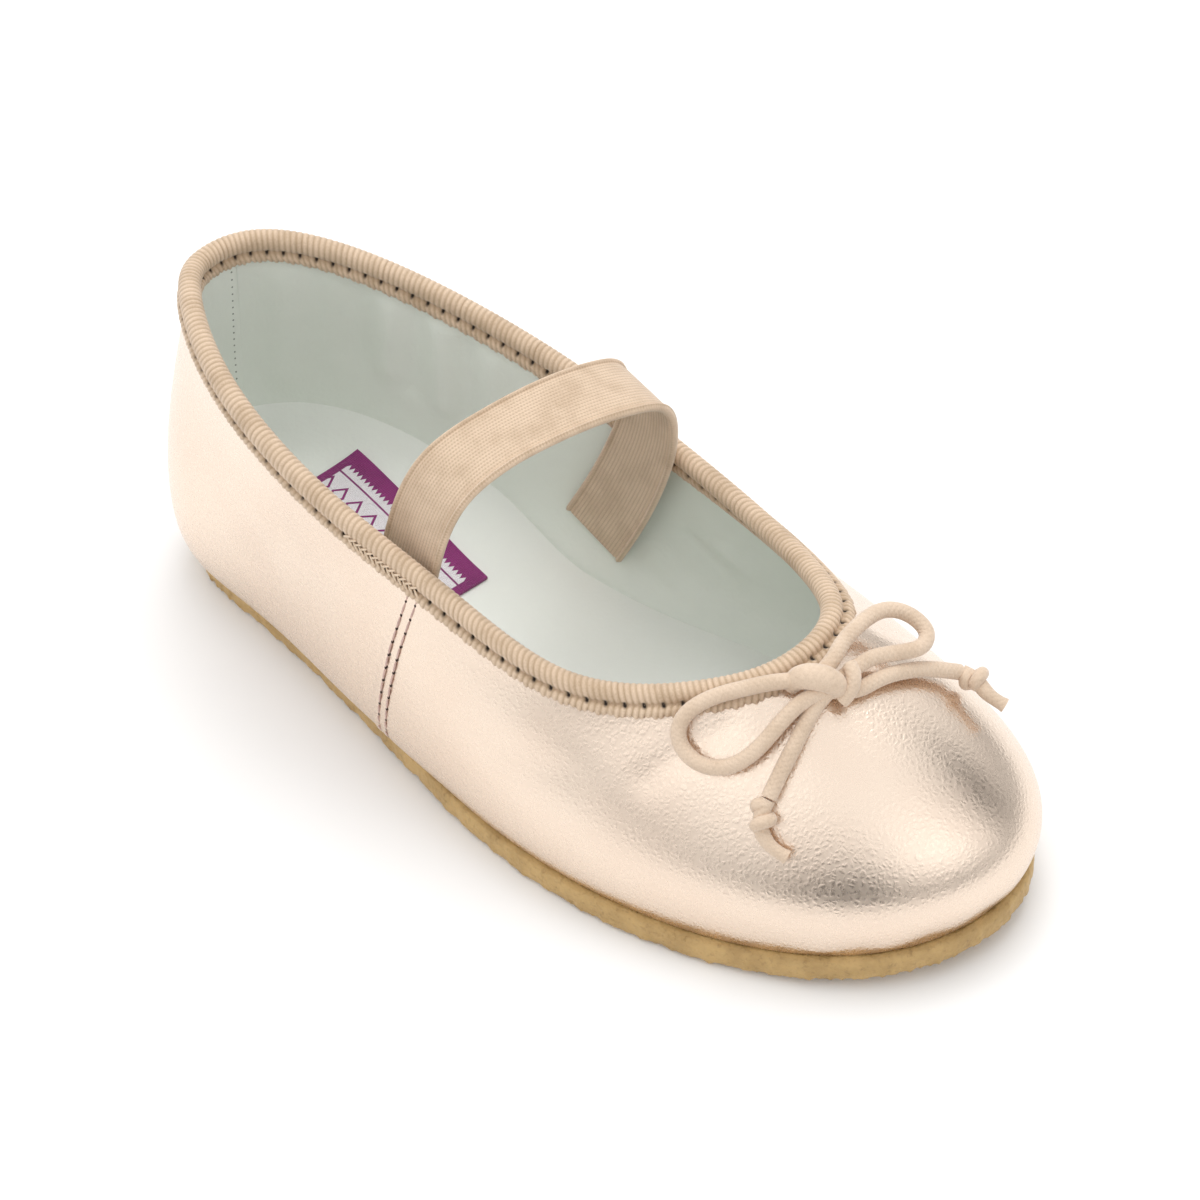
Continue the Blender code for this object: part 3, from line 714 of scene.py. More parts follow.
@dataclass(frozen=True)
class Grosgrain(Finish):
    """The binding's ribbed tape: U counts ribs round the collar and V is a rib's depth."""

    hole_every: float = 3.0

    def build(self) -> bpy.types.Material:
        """Painted shade: the colour darkens in the grooves between the ribs and goes near black in the holes of the
        stitched groove.
        """
        material, wiring, shader = self.start()
        inputs = {"Vector": wiring.place(), "Colour": colour(*self.base), "Dark": colour(*self.dark)}
        yarn = self.use(wiring, "yarn", inputs)
        # painted shade: the groove attribute darkens the yarn colour between the ribs and along the stitched groove
        shade = wiring.node("ShaderNodeAttribute", attribute_name="groove").outputs["Fac"]
        groove_shaded = wiring.blend(wiring.math("MULTIPLY", shade, 0.75), yarn.outputs["Colour"], colour(*self.dark))
        # painted shade: the hole attribute turns the colour near black where the stitch holes are
        hole = wiring.node("ShaderNodeAttribute", attribute_name="hole").outputs["Fac"]
        wiring.put(shader.inputs["Base Color"], wiring.blend(hole, groove_shaded, colour(0.03, 0.02, 0.012)))
        wiring.put(shader.inputs["Normal"], wiring.bump(yarn.outputs["Height"], 0.00003))
        return material


@dataclass(frozen=True)
class ElasticWeave(Finish):
    """The strap's weave: U is millimetres along it and V millimetres across it."""

    rib: float = 0.62
    pick: float = 0.5

    def build(self) -> bpy.types.Material:
        """Fine ribs along the strap crossed by short picks, with painted shade darkening the low parts of the weave.
        """
        material, wiring, shader = self.start()
        inputs = {"Vector": wiring.place(), "Colour": colour(*self.base), "Dark": colour(*self.dark)}
        yarn = self.use(wiring, "yarn", inputs)
        along, across = wiring.uv()
        rib = wiring.wave(wiring.math("DIVIDE", across, self.rib))
        row = wiring.math("FLOOR", wiring.math("DIVIDE", across, self.rib))
        shift = wiring.math("MULTIPLY", row, 0.5)
        pick = wiring.wave(wiring.math("ADD", wiring.math("DIVIDE", along, self.pick), shift))
        height = wiring.math("ADD", wiring.math("MULTIPLY", rib, 0.6), wiring.math("MULTIPLY", pick, 0.4))
        # painted shade: the low parts of the weave are darkened towards the dark colour
        low = wiring.between(height, 0.75, 0.25, 0.0, 0.55)
        wiring.put(shader.inputs["Base Color"], wiring.blend(low, yarn.outputs["Colour"], colour(*self.dark)))
        fibres = wiring.bump(yarn.outputs["Height"], 0.00002)
        wiring.put(shader.inputs["Normal"], wiring.bump(height, 0.00012, normal=fibres))
        return material


@dataclass(frozen=True)
class Crepe(Finish):
    """Crepe rubber: cloudy honey colour, wrinkled and pitted."""

    def build(self) -> bpy.types.Material:
        """Clouds and dark flecks in the colour, and a coarse wrinkled bump."""
        material, wiring, shader = self.start()
        place = wiring.place()
        clouds = wiring.noise(place, 170.0, 4.0, 0.6)
        flecks = wiring.noise(place, 1100.0, 3.0, 0.7)
        share = wiring.math(
            "ADD", wiring.between(clouds, 0.35, 0.7, 0.0, 0.5), wiring.between(flecks, 0.5, 0.75, 0.0, 0.5), clamp=True
        )
        wiring.put(shader.inputs["Base Color"], wiring.blend(share, colour(*self.base), colour(*self.dark)))
        coarse = wiring.bump(wiring.noise(place, 420.0, 4.0, 0.6), 0.0006)
        wiring.put(shader.inputs["Normal"], wiring.bump(flecks, 0.00015, normal=coarse))
        return material


@dataclass(frozen=True)
class WovenLabel(Finish):
    """The label's weave: a plain ground with a pale band, saw-toothed edges and lozenges."""

    pale: tuple[float, float, float] = (0.80, 0.76, 0.80)

    def build(self) -> bpy.types.Material:
        """U and V run from -0.5 to 0.5 over the label's long and short side."""
        material, wiring, shader = self.start()
        along, across = wiring.uv()
        off = wiring.math("ABSOLUTE", across)
        tooth = wiring.math("PINGPONG", wiring.math("MULTIPLY", along, 34.0), 0.5)
        edge = wiring.math("SUBTRACT", 0.335, wiring.math("MULTIPLY", tooth, 0.11))
        band = wiring.between(wiring.math("SUBTRACT", edge, off), -0.004, 0.004)
        inner = wiring.between(wiring.math("ABSOLUTE", wiring.math("SUBTRACT", off, 0.215)), 0.014, 0.006)
        cell = wiring.math("PINGPONG", wiring.math("MULTIPLY", along, 9.0), 0.5)
        lozenge = wiring.math("ADD", wiring.math("MULTIPLY", cell, 0.34), off)
        ring = wiring.math("ABSOLUTE", wiring.math("SUBTRACT", lozenge, 0.115))
        motif = wiring.between(ring, 0.028, 0.018)
        dark = wiring.math("MAXIMUM", inner, motif)
        white = wiring.math("SUBTRACT", band, dark, clamp=True)
        ends = wiring.between(wiring.math("ABSOLUTE", along), 0.455, 0.450)
        inputs = {"Vector": wiring.place(), "Colour": colour(*self.base), "Dark": colour(*self.dark)}
        ground = self.use(wiring, "yarn", inputs)
        shown = wiring.blend(wiring.math("MULTIPLY", white, ends), ground.outputs["Colour"], colour(*self.pale))
        wiring.put(shader.inputs["Base Color"], shown)
        warp = wiring.wave(wiring.math("MULTIPLY", along, 90.0))
        weft = wiring.wave(wiring.math("MULTIPLY", across, 48.0))
        weave = wiring.math("ADD", wiring.math("MULTIPLY", warp, weft), wiring.math("MULTIPLY", white, 0.8))
        wiring.put(shader.inputs["Normal"], wiring.bump(weave, 0.00007))
        return material


@dataclass(frozen=True)
class Plain(Finish):
    """A small dark or pale thing with a little grain."""

    def build(self) -> bpy.types.Material:
        """A faint mottle and bump."""
        material, wiring, shader = self.start()
        speck = wiring.noise(wiring.place(), 3000.0, 2.0)
        wiring.put(shader.inputs["Base Color"], wiring.blend(speck, colour(*self.base), colour(*self.dark)))
        wiring.put(shader.inputs["Normal"], wiring.bump(speck, 0.00002))
        return material


ROSE_GOLD = Leather("rose gold leather", (0.84, 0.70, 0.58), (0.80, 0.64, 0.52), 0.27, 0.97, mottle=0.4)
LINING = Leather(
    "pale lining leather", (0.78, 0.82, 0.76), (0.68, 0.73, 0.66), 0.42, 0.0, grain_scale=900.0, grain_depth=0.00003
)
SOCK = Leather(
    "white sock leather", (0.84, 0.86, 0.82), (0.78, 0.81, 0.76), 0.5, 0.0, grain_scale=1100.0, grain_depth=0.00003
)
# its dark colour serves both the yarn's random tint and the painted shade in the grooves
BINDING = Grosgrain("beige grosgrain", (0.74, 0.57, 0.42), (0.34, 0.23, 0.13), 0.75, sheen=0.3, specular=0.25)
# its dark colour serves both the yarn's random tint and the painted shade in the weave's low parts
ELASTIC = ElasticWeave("beige elastic", (0.74, 0.57, 0.42), (0.42, 0.29, 0.18), 0.8, sheen=0.3, specular=0.2)
COTTON = Yarn("beige cotton cord", (0.75, 0.59, 0.45), (0.52, 0.38, 0.26), 0.8, sheen=0.4, specular=0.2, twist=1.1)
TACK = Yarn("beige thread", (0.76, 0.60, 0.44), (0.45, 0.32, 0.20), 0.7, sheen=0.2)
SEAM_THREAD = Yarn("dusty mauve thread", (0.62, 0.42, 0.36), (0.36, 0.22, 0.20), 0.6, sheen=0.2)
# painted shade: the near-black colour of the needle holes in the side seams
HOLE_SHADE = Plain("needle hole", (0.035, 0.022, 0.02), (0.06, 0.04, 0.035), 0.9, specular=0.1)
CREPE = Crepe("honey crepe rubber", (0.56, 0.37, 0.15), (0.30, 0.18, 0.06), 0.55, subsurface=0.15)
LABEL = WovenLabel("purple woven label", (0.27, 0.015, 0.17), (0.12, 0.006, 0.08), 0.75, sheen=0.3)


class Crease(NamedTuple):
    """A soft trough or ridge along a line, in millimetres; a positive rise stands out."""

    start: tuple[float, float, float]
    end: tuple[float, float, float]
    width: float
    rise: float


def creased(points: Array, creases: Sequence[Crease]) -> Array:
    """How far the creases raise each point: rise * bell(distance to the crease's line)."""
    total = np.zeros(points.shape[:-1])
    for crease in creases:
        start, end = np.array(crease.start), np.array(crease.end)
        run = end - start
        share = np.clip((points - start) @ run / (run @ run), 0.0, 1.0)
        away = np.linalg.norm(points - start - share[..., None] * run, axis=-1)
        total += crease.rise * bell(away, crease.width)
    return total


@dataclass
class Upper:
    """The leather wall: one grained shell with a lapped seam at each side."""

    columns: int = 720
    rows: int = 98
    leather: float = 1.0
    tuck: float = 0.9
    seam_heights: tuple[float, ...] = (4.0, 27.6, 39.0, 50.0)
    seam_along: tuple[float, ...] = (60.4, 65.6, 68.5, 71.5)
    lap: float = 0.22
    lap_edge: float = -2.2
    stitch_rows: tuple[float, ...] = (-0.85, 0.85)
    stitch_pitch: float = 2.9
    creases: tuple[Crease, ...] = (
        Crease((118.0, -16.0, 33.0), (111.0, -25.0, 26.0), 2.6, -0.25),
        Crease((124.0, -12.0, 35.5), (122.0, -20.0, 30.5), 2.2, -0.22),
        Crease((128.0, 6.0, 37.5), (132.0, 14.0, 33.0), 2.2, -0.2),
        Crease((124.5, 14.5, 35.5), (127.5, 22.0, 29.5), 2.4, -0.25),
        Crease((100.0, -30.0, 24.0), (86.0, -31.0, 22.0), 3.5, -0.2),
        Crease((40.0, -25.0, 34.0), (30.0, -22.5, 22.0), 5.0, -0.35),
        Crease((54.0, -27.5, 30.0), (50.0, -27.0, 16.0), 4.0, 0.25),
    )

    def from_seam(self, points: Array) -> Array:
        """Millimetres ahead of the side seam's line, at each point."""
        line = np.interp(points[..., 2], self.seam_heights, self.seam_along)
        return (points[..., 0] - line) * 0.97

    def relief(self, points: Array, row: Array) -> Array:
        """How far the outer face stands out: lapped seams, creases, slow waves and lasting pulls."""
        ahead = self.from_seam(points)
        lap = self.lap * eased(self.lap_edge - 0.25, self.lap_edge + 0.25, ahead)
        lap *= 1.0 - eased(2.0, 16.0, ahead)
        pinch = sum(bell(ahead - place, 0.35) for place in self.stitch_rows)
        slow = 0.10 * np.sin(points[..., 0] / 7.3 + points[..., 2] / 9.1)
        slow = slow + 0.08 * np.sin(points[..., 1] / 5.7 - points[..., 2] / 6.3 + 1.7)
        pull = 0.10 * np.sin(points[..., 1] / 1.9 + points[..., 0] / 3.1) * bell(row, 0.09)
        pull *= eased(120.0, 150.0, points[..., 0])
        return lap - 0.10 * pinch + slow + pull + creased(points, self.creases)

    def shell(self) -> Skin:
        """The outer face from the feather edge to the rim, then the inner face back down."""
        turn = np.arange(self.columns) / self.columns
        rim = LAST.row_below(turn, 1.3)
        share = np.linspace(0.0, 1.0, self.rows)[:, None]
        row = share * rim
        face = LAST.face(turn[None], row)
        out = LAST.normal(turn[None], row)
        fade = eased(0.0, 0.03, share) * (1.0 - eased(0.97, 1.0, share))
        outer = face + out * (self.relief(face, row) * fade)[..., None]
        foot = face[0] - out[0] * self.tuck
        foot[:, 2] = face[0, :, 2] - 0.15
        inner_rows = np.linspace(1.0, 0.0, 7)[:, None] * rim
        inner = LAST.offset(turn[None], inner_rows, self.leather)
        rings = np.concatenate([foot[None], outer, inner])
        height = np.arange(len(rings) + 1.0)
        return Skin.lattice(rings, np.arange(self.columns + 1) / self.columns, height, wrap=True, ring=True)

    def seam_places(self, side: Side, shift: float) -> tuple[Array, Array, Array]:
        """Even places down a stitch row: points, directions along the row and outward vectors."""
        turn = np.linspace(0.15, 0.35, 161) if side is Side.OUTER else np.linspace(0.65, 0.85, 161)
        rows = np.linspace(0.03, 0.965, 400)
        ahead = self.from_seam(LAST.face(turn[None], rows[:, None])) - shift
        sign = -side.value
        order = np.argsort(sign * turn)
        found = np.array([np.interp(0.0, line[order], turn[order]) for line in ahead])
        points = LAST.face(found, rows)
        run = np.concatenate([[0.0], np.cumsum(np.linalg.norm(np.diff(points, axis=0), axis=1))])
        even = np.arange(0.6 * self.stitch_pitch, run[-1], self.stitch_pitch)
        turn_at, row_at = np.interp(even, run, found), np.interp(even, run, rows)
        along = unit(np.stack([np.interp(even, run, np.gradient(points[:, k], run)) for k in range(3)], 1))
        return LAST.face(turn_at, row_at), along, LAST.normal(turn_at, row_at)

    def stitches(self) -> tuple[Skin, Skin]:
        """Threads, and needle holes as dark beads of painted shade, of both rows on both sides."""
        threads, holes = [], []
        half = 0.5 * self.stitch_pitch
        for side in Side:
            for shift in self.stitch_rows:
                place, along, out = self.seam_places(side, shift)
                raised = place + out * (self.lap - 0.02)
                threads.append(beads(raised + along * half, along, out, (0.92 * half, 0.17, 0.16)))
                # holes: small dark beads of painted shade where the needle went through
                holes.append(beads(raised - out * 0.05, along, out, (0.30, 0.24, 0.13), 5, 8))
        return threads[0].with_(*threads[1:]), holes[0].with_(*holes[1:])

    def dress(self) -> None:
        """Build the leather, its stitches and the painted shade of their holes."""
        self.shell().build("upper_leather", ROSE_GOLD.build(), Slot.UPPER, "upper")
        threads, holes = self.stitches()
        threads.build("side_seam_stitches", SEAM_THREAD.build(), Slot.UPPER)
        holes.build("side_seam_hole_shade", HOLE_SHADE.build(), Slot.UPPER)


class InsoleRow(NamedTuple):
    """The insole's top at a part of the length: its rise above the outsole and its cupped edge."""

    along: float
    rise: float
    cup: float


INSOLE_ROWS = (
    InsoleRow(0.00, 14.2, 2.4),
    InsoleRow(0.18, 13.2, 2.4),
    InsoleRow(0.34, 8.0, 1.6),
    InsoleRow(0.46, 3.8, 0.8),
    InsoleRow(0.62, 2.5, 0.3),
    InsoleRow(1.00, 2.4, 0.0),
)


def smooth_line(places: Sequence[float], values: Sequence[float], where: Array) -> Array:
    """A cubic line through values at places, with the slopes that their neighbours give."""
    places, values = np.asarray(places), np.asarray(values)
    row = np.clip(np.searchsorted(places, where, side="right") - 1, 0, len(places) - 2)
    span = places[row + 1] - places[row]
    part = np.clip((where - places[row]) / span, 0.0, 1.0)
    slopes = np.gradient(values, places)
    rest = 1.0 - part
    return (
        values[row] * (1.0 + 2.0 * part) * rest**2
        + slopes[row] * span * part * rest**2
        + values[row + 1] * part**2 * (3.0 - 2.0 * part)
        - slopes[row + 1] * span * part**2 * rest
    )


def insole_top(along: Array, side: Array) -> Array:
    """Height of the insole's upper face at places in plan: a wedge with a cupped edge."""
    part = np.asarray(along) / LENGTH
    places = [row.along for row in INSOLE_ROWS]
    rise = smooth_line(places, [row.rise for row in INSOLE_ROWS], part)
    cup = smooth_line(places, [row.cup for row in INSOLE_ROWS], part)
    low, high = LAST.sides(along)
    across = (side - 0.5 * (low + high)) / np.clip(0.5 * (high - low), 1.0, None)
    return floor_height(along) + SOLE_THICKNESS + GAP + rise + cup * np.clip(np.abs(across), 0.0, 1.0) ** 2


@dataclass
class Lining:
    """The pale leather inside: a wrinkled wall that rounds in to the sock, and the heel's tape."""

    columns: int = 480
    rows: int = 60
    inner_depth: float = 1.8
    outer_depth: float = 1.05
    fillet_reach: float = 7.0
    creases: tuple[Crease, ...] = (
        Crease((11.6, 9.9, 49.6), (6.8, 11.7, 26.0), 3.4, 0.7),
        Crease((21.9, 15.7, 47.8), (19.5, 16.7, 33.0), 2.6, -0.6),
        Crease((26.7, 17.4, 45.0), (25.0, 17.8, 31.6), 2.4, 0.8),
        Crease((31.1, 18.5, 45.8), (29.2, 18.6, 29.4), 2.2, -0.6),
        Crease((35.4, 19.4, 43.6), (35.0, 19.3, 28.5), 2.4, 0.9),
        Crease((40.1, 20.1, 41.5), (39.6, 19.8, 27.5), 2.0, -0.6),
        Crease((44.7, 20.7, 40.3), (44.8, 20.4, 28.1), 2.2, 0.7),
        Crease((74.0, 24.0, 14.0), (84.0, 25.5, 8.5), 1.6, 0.7),
        Crease((79.8, 25.3, 19.2), (92.1, 25.6, 9.0), 1.5, -0.7),
        Crease((85.7, 26.5, 19.5), (98.5, 25.9, 9.5), 1.5, 0.6),
        Crease((92.0, 26.0, 22.0), (104.0, 22.0, 12.0), 1.6, -0.5),
        Crease((24.0, -18.0, 46.0), (23.0, -17.5, 30.0), 2.4, 0.7),
        Crease((38.0, -22.0, 43.0), (37.0, -21.5, 28.0), 2.4, 0.7),
    )

    def fillet(self, turn: Array, height: Array) -> Array:
        """How far the wall rounds in above the sock: more at the inner middle and forefoot."""
        along = LAST.feather(turn)[..., 0]
        inner_side = eased(0.52, 0.56, turn) * (1.0 - eased(0.93, 0.98, turn))
        size = 1.2 + (3.6 * inner_side + 1.2) * eased(44.0, 66.0, along)
        return size * np.exp(-np.clip(height, 0.0, None) / self.fillet_reach * 2.2)

    def wall(self) -> Skin:
        """Inner face from the sock to under the binding, then the outer face back down."""
        turn = np.arange(self.columns) / self.columns
        rim = LAST.row_below(turn, 1.6)
        share = np.linspace(0.0, 1.0, self.rows)[:, None] ** 1.2
        rows = share * rim
        inner = LAST.offset(turn[None], rows, self.inner_depth)
        out = LAST.normal(turn[None], rows)
        plan = inner[..., :2]
        above = inner[..., 2] - insole_top(plan[..., 0], plan[..., 1])
        push = self.fillet(turn[None] + 0.0 * rows, above)
        push = push + creased(inner, self.creases) * eased(0.0, 3.0, above)
        push = push * (1.0 - eased(0.93, 1.0, share))
        level = out * np.array([1.0, 1.0, 0.0])
        inner = inner - unit(level + 1e-6) * push[..., None]
        outer = LAST.offset(turn[None], np.linspace(1.0, 0.0, 6)[:, None] * rim, self.outer_depth)
        rings = np.concatenate([inner, outer])
        height = np.arange(len(rings) + 1.0)
        return Skin.lattice(rings, np.arange(self.columns + 1) / self.columns, height, wrap=True, ring=True)

    def heel_tape(self) -> tuple[Skin, Skin]:
        """The strip over the heel's seam inside, and the row of holes down its inner edge as small beads of painted
        shade.
        """
        turn = np.linspace(0.965, 1.045, 29)
        share = np.linspace(0.0, 1.0, 33)[:, None]
        rim = LAST.row_below(turn, 2.4)
        low = 0.20 + 0.0 * rim
        rows = low + (rim - low) * share
        thick = np.linspace(0.0, 1.0, 29)
        edge = np.clip(np.minimum(thick, 1.0 - thick) * 14.0, 0.0, 1.0) ** 0.5
        front = LAST.offset(turn[None], rows, self.inner_depth + 0.15 + 0.42 * edge[None] + 0.0 * rows)
        back = LAST.offset(turn[None], rows, self.inner_depth - 0.3 + 0.0 * rows)
        rings = np.concatenate([front, back[:, ::-1]], axis=1)
        count = rings.shape[1]
        skin = Skin.lattice(rings, np.arange(count + 1.0), np.arange(len(rings) + 0.0), wrap=True)
        holes_at = np.linspace(0.24, 0.93, 24)
        turns = np.full_like(holes_at, 0.9715)
        places = LAST.offset(turns, holes_at, self.inner_depth + 0.55 + 0.0 * holes_at)
        out = -LAST.normal(turns, holes_at)
        up = unit(np.gradient(places, axis=0))
        return skin.closed_ends(count), beads(places, up, out, (0.22, 0.17, 0.08), 5, 6)

    def dress(self) -> None:
        """Build the lining, the tape and the painted shade of its holes."""
        finish = LINING.build()
        self.wall().build("lining", finish, Slot.LINING)
        tape, holes = self.heel_tape()
        tape.build("heel_tape", finish, Slot.LINING)
        # painted shade: grey beads darker than the lining stand for the shade in the tape's needle holes
        tape_hole_shade = Plain("tape needle hole", (0.22, 0.24, 0.21), (0.30, 0.32, 0.29), 0.9, specular=0.1)
        holes.build("heel_tape_hole_shade", tape_hole_shade.build(), Slot.LINING)


@dataclass
class Sock:
    """The insole: a wedge under the heel, faced with white leather, with a woven label."""

    columns: int = 320
    top_rows: int = 40
    clearance: float = 0.35
    label_size: tuple[float, float, float] = (32.0, 17.0, 0.5)
    label_middle: tuple[float, float] = (38.0, -1.0)
    label_turn: float = math.radians(-10.0)
    label_lift: float = 0.12

    def wall_ring(self, heights: Array, inset: float) -> Array:
        """One ring inside the wall at a height for each turn."""
        turn = np.arange(self.columns) / self.columns
        rows = np.linspace(0.0, 0.8, 161)
        inner = LAST.offset(turn[None], rows[:, None], WALL + inset + 0.0 * rows[:, None] * turn)
        place = (inner[..., 2] < heights).sum(axis=0).clip(1, len(rows) - 1)
        column = np.arange(self.columns)
        low, high = inner[place - 1, column], inner[place, column]
        share = ((heights - low[:, 2]) / (high[:, 2] - low[:, 2]))[:, None]
        ring = low + share.clip(0.0, 1.0) * (high - low)
        ring[:, 2] = heights
        return ring

    def wedge(self) -> Skin:
        """The side from the outsole up, and the top drawn in to the foot's middle line."""
        turn = np.arange(self.columns) / self.columns
        base = LAST.base(turn) + 0.05
        edge = self.wall_ring(base + 2.4, self.clearance)
        top = insole_top(edge[:, 0], edge[:, 1])
        sides = [self.wall_ring(base + (top - base) * part, self.clearance) for part in np.linspace(0, 1, 9)]
        rim = sides[-1][:, :2]
        middle = 0.5 * (rim + np.roll(rim[::-1], 1, axis=0))
        share = np.linspace(1.0, 0.02, self.top_rows)[1:, None, None]
        plan = middle + (rim - middle) * share
        height = insole_top(plan[..., 0], plan[..., 1])
        inside = np.concatenate([plan, height[..., None]], -1)
        under = np.concatenate([middle + (rim - middle) * 0.02, base[:, None]], -1)
        rings = np.concatenate([under[None], np.array(sides), inside])
        skin = Skin.lattice(rings, np.arange(self.columns + 1.0), np.arange(len(rings) + 0.0), wrap=True)
        return skin.closed_ends(self.columns)

    def label(self) -> Skin:
        """The woven patch, draped on the sock, its edges a little curled and uneven."""
        length, width, thick = self.label_size
        u = np.linspace(-0.5, 0.5, 81)
        v = np.linspace(-0.5, 0.5, 43)
        run, side = np.meshgrid(u * length, v * width)
        along = self.label_middle[0] + run * math.cos(self.label_turn) - side * math.sin(self.label_turn)
        across = self.label_middle[1] + run * math.sin(self.label_turn) + side * math.cos(self.label_turn)
        low = insole_top(along, across) + self.label_lift
        ripple = 0.10 * np.sin(run / 2.7 + 0.6) * eased(0.35, 0.5, np.abs(side) / width)
        over = np.stack([along, across, low + thick + ripple], -1)
        under = np.stack([along, across, low], -1)
        top = Skin.lattice(over, u, v)
        bottom = Skin.lattice(under, u, v)
        bottom.quads, bottom.uv = bottom.quads[:, ::-1], bottom.uv[:, ::-1]
        skin = top.with_(bottom)
        rows, columns = over.shape[:2]
        grid = np.arange(rows * columns).reshape(rows, columns)
        rim = np.concatenate([grid[0, :-1], grid[:-1, -1], grid[-1, :0:-1], grid[:0:-1, 0]])
        after = np.roll(rim, -1)
        shift = rows * columns
        walls = np.stack([rim + shift, after + shift, after, rim], -1)
        pairs = np.stack([np.tile(u, rows), np.repeat(v, columns)], -1)
        wall_uv = pairs[np.stack([rim, after, after, rim], -1)]
        return Skin(skin.points, np.concatenate([skin.quads, walls]), np.concatenate([skin.uv, wall_uv]))

    def dress(self) -> None:
        """Build the sock and its label."""
        self.wedge().build("sock", SOCK.build(), Slot.LINING, "insole")
        self.label().build("woven_label", LABEL.build(), Slot.LABEL, "insole_label")


@dataclass
class Binding:
    """The grosgrain binding: a ribbed roll over the collar, stitched down to a looped edge."""

    ribs: int = 303
    samples: int = 6
    ribs_per_stitch: int = 3
    rib_height: float = 0.17
    roll: float = 1.72
    groove: float = 1.25
    edge: float = 3.1
    middle: float = -0.9

    def profile(self) -> tuple[Array, Array, Array, Array]:
        """The fold's outline as out and down, the share of rib relief, and the flange's share.

        The outer flange runs up to the groove, the roll turns over the collar, and the inner
        flange runs down again and returns inside the fold.
        """
        turn = np.radians(np.linspace(-38.0, 218.0, 22))
        roll = np.stack([self.middle + self.roll * np.cos(turn), -self.roll * np.sin(turn)], 1)
        outer = [(0.15, self.edge), (0.62, self.edge - 0.02), (0.92, 2.75), (0.98, 2.35), (0.92, 1.95)]
        outer += [(0.80, 1.62), (0.56, 1.38), (0.40, 1.22)]
        inner = [(-2.2, 1.22), (-2.36, 1.38), (-2.6, 1.62), (-2.72, 1.95), (-2.78, 2.35)]
        inner += [(-2.72, 2.75), (-2.42, self.edge - 0.02), (-1.95, self.edge)]
        back = [(-1.95, 2.0), (-1.9, 0.9), (0.1, 0.9), (0.12, 2.0)]
        line = np.array(outer + roll.tolist() + inner + back)
        ribbed = np.array([0.6] + [1.0] * 5 + [0.7, 0.4] + [1.0] * 22 + [0.4, 0.7] + [1.0] * 5 + [0.6] + [0.0] * 4)
        flange = np.array([1.0] * 6 + [0.5, 0.0] + [0.0] * 22 + [0.0, 0.5] + [1.0] * 6 + [0.0] * 4)
        return line[:, 0], line[:, 1], ribbed, flange

    def skin(self) -> tuple[Skin, Array, Array]:
        """The ribbed mesh, and for each of its points the share of painted shade in the grooves and in the holes."""
        out, down, ribbed, flange = self.profile()
        count = self.ribs * self.samples
        turn = LAST.even_turns(count)
        phase = np.arange(count) / self.samples
        slant = 0.42 * flange * (down - self.groove)
        lean = phase[None] + slant[:, None] + 0.12 * np.sin(phase * 0.21)[None]
        wave = np.abs(np.cos(math.pi * lean))
        rib = wave**0.8
        stitch = np.cos(2.0 * math.pi * phase / self.ribs_per_stitch)[None]
        near_groove = (bell(down - self.groove - 0.05, 0.34) * (np.abs(out + 0.9) > 0.9))[:, None]
        hole = near_groove * np.clip(stitch, 0.0, 1.0) ** 6
        lift = self.rib_height * (rib - 0.6) * ribbed[:, None]
        lift -= 0.42 * hole + 0.10 * near_groove * (1.0 - hole)
        loops = (0.30 * rib - 0.12 - 0.16 * stitch) * eased(2.2, self.edge, down)[:, None] * flange[:, None]
        line = np.stack([out, down], 1)
        run = unit(np.roll(line, -1, axis=0) - np.roll(line, 1, axis=0))
        square = np.stack([run[:, 1], -run[:, 0]], 1)
        square *= np.sign(np.sum(square * (line - np.array([self.middle, 1.6])), axis=1))[:, None]
        out = out[:, None] + square[:, :1] * lift
        down = down[:, None] + square[:, 1:] * lift + loops
        points = LAST.beside_collar(turn, out, down)
        rows = np.arange(len(line) + 1.0)
        skin = Skin.lattice(points, np.arange(count + 1) / self.samples, rows, wrap=True, ring=True)
        # painted shade: darker in the troughs between ribs and along the stitched groove; the hole share makes the
        # stitch holes near black
        shade = (1.0 - rib) * np.minimum(ribbed, 1.0)[:, None] + 0.5 * near_groove
        return skin, np.clip(shade, 0.0, 1.0).ravel(), np.clip(1.6 * hole, 0.0, 1.0).ravel()

    def tack(self) -> Skin:
        """Bar tacks that hold the strap under the outer roll: crossed short threads."""
        count = 26
        turn = np.interp(np.linspace(0.0, 1.0, count), [0.0, 1.0], [0.207, 0.242])
        down = np.where(np.arange(count) % 2 == 0, 0.55, 1.25)
        row = LAST.row_below(turn, 0.0 * turn + down)
        out = LAST.normal(turn, row)
        place = LAST.face(turn, row) + out * 0.95
        along = unit(np.gradient(LAST.face(turn, row * 0.0 + 1.0), axis=0))
        up = np.cross(out, along)
        slant = unit(along * np.where(np.arange(count) % 2 == 0, 1.0, -1.0)[:, None] + up * 0.9)
        return beads(place, slant, out, (0.85, 0.2, 0.2))

    def dress(self) -> None:
        """Build the binding with its shading marks, and the tacks."""
        skin, groove, hole = self.skin()
        piece = skin.build("grosgrain_binding", BINDING.build(), Slot.BINDING, "collar_binding")
        # both attributes carry painted shade for the binding's colour
        for name, values in (("groove", groove), ("hole", hole)):
            piece.data.attributes.new(name, "FLOAT", "POINT").data.foreach_set("value", values)
        self.tack().build("strap_bar_tack", TACK.build(), Slot.BINDING)


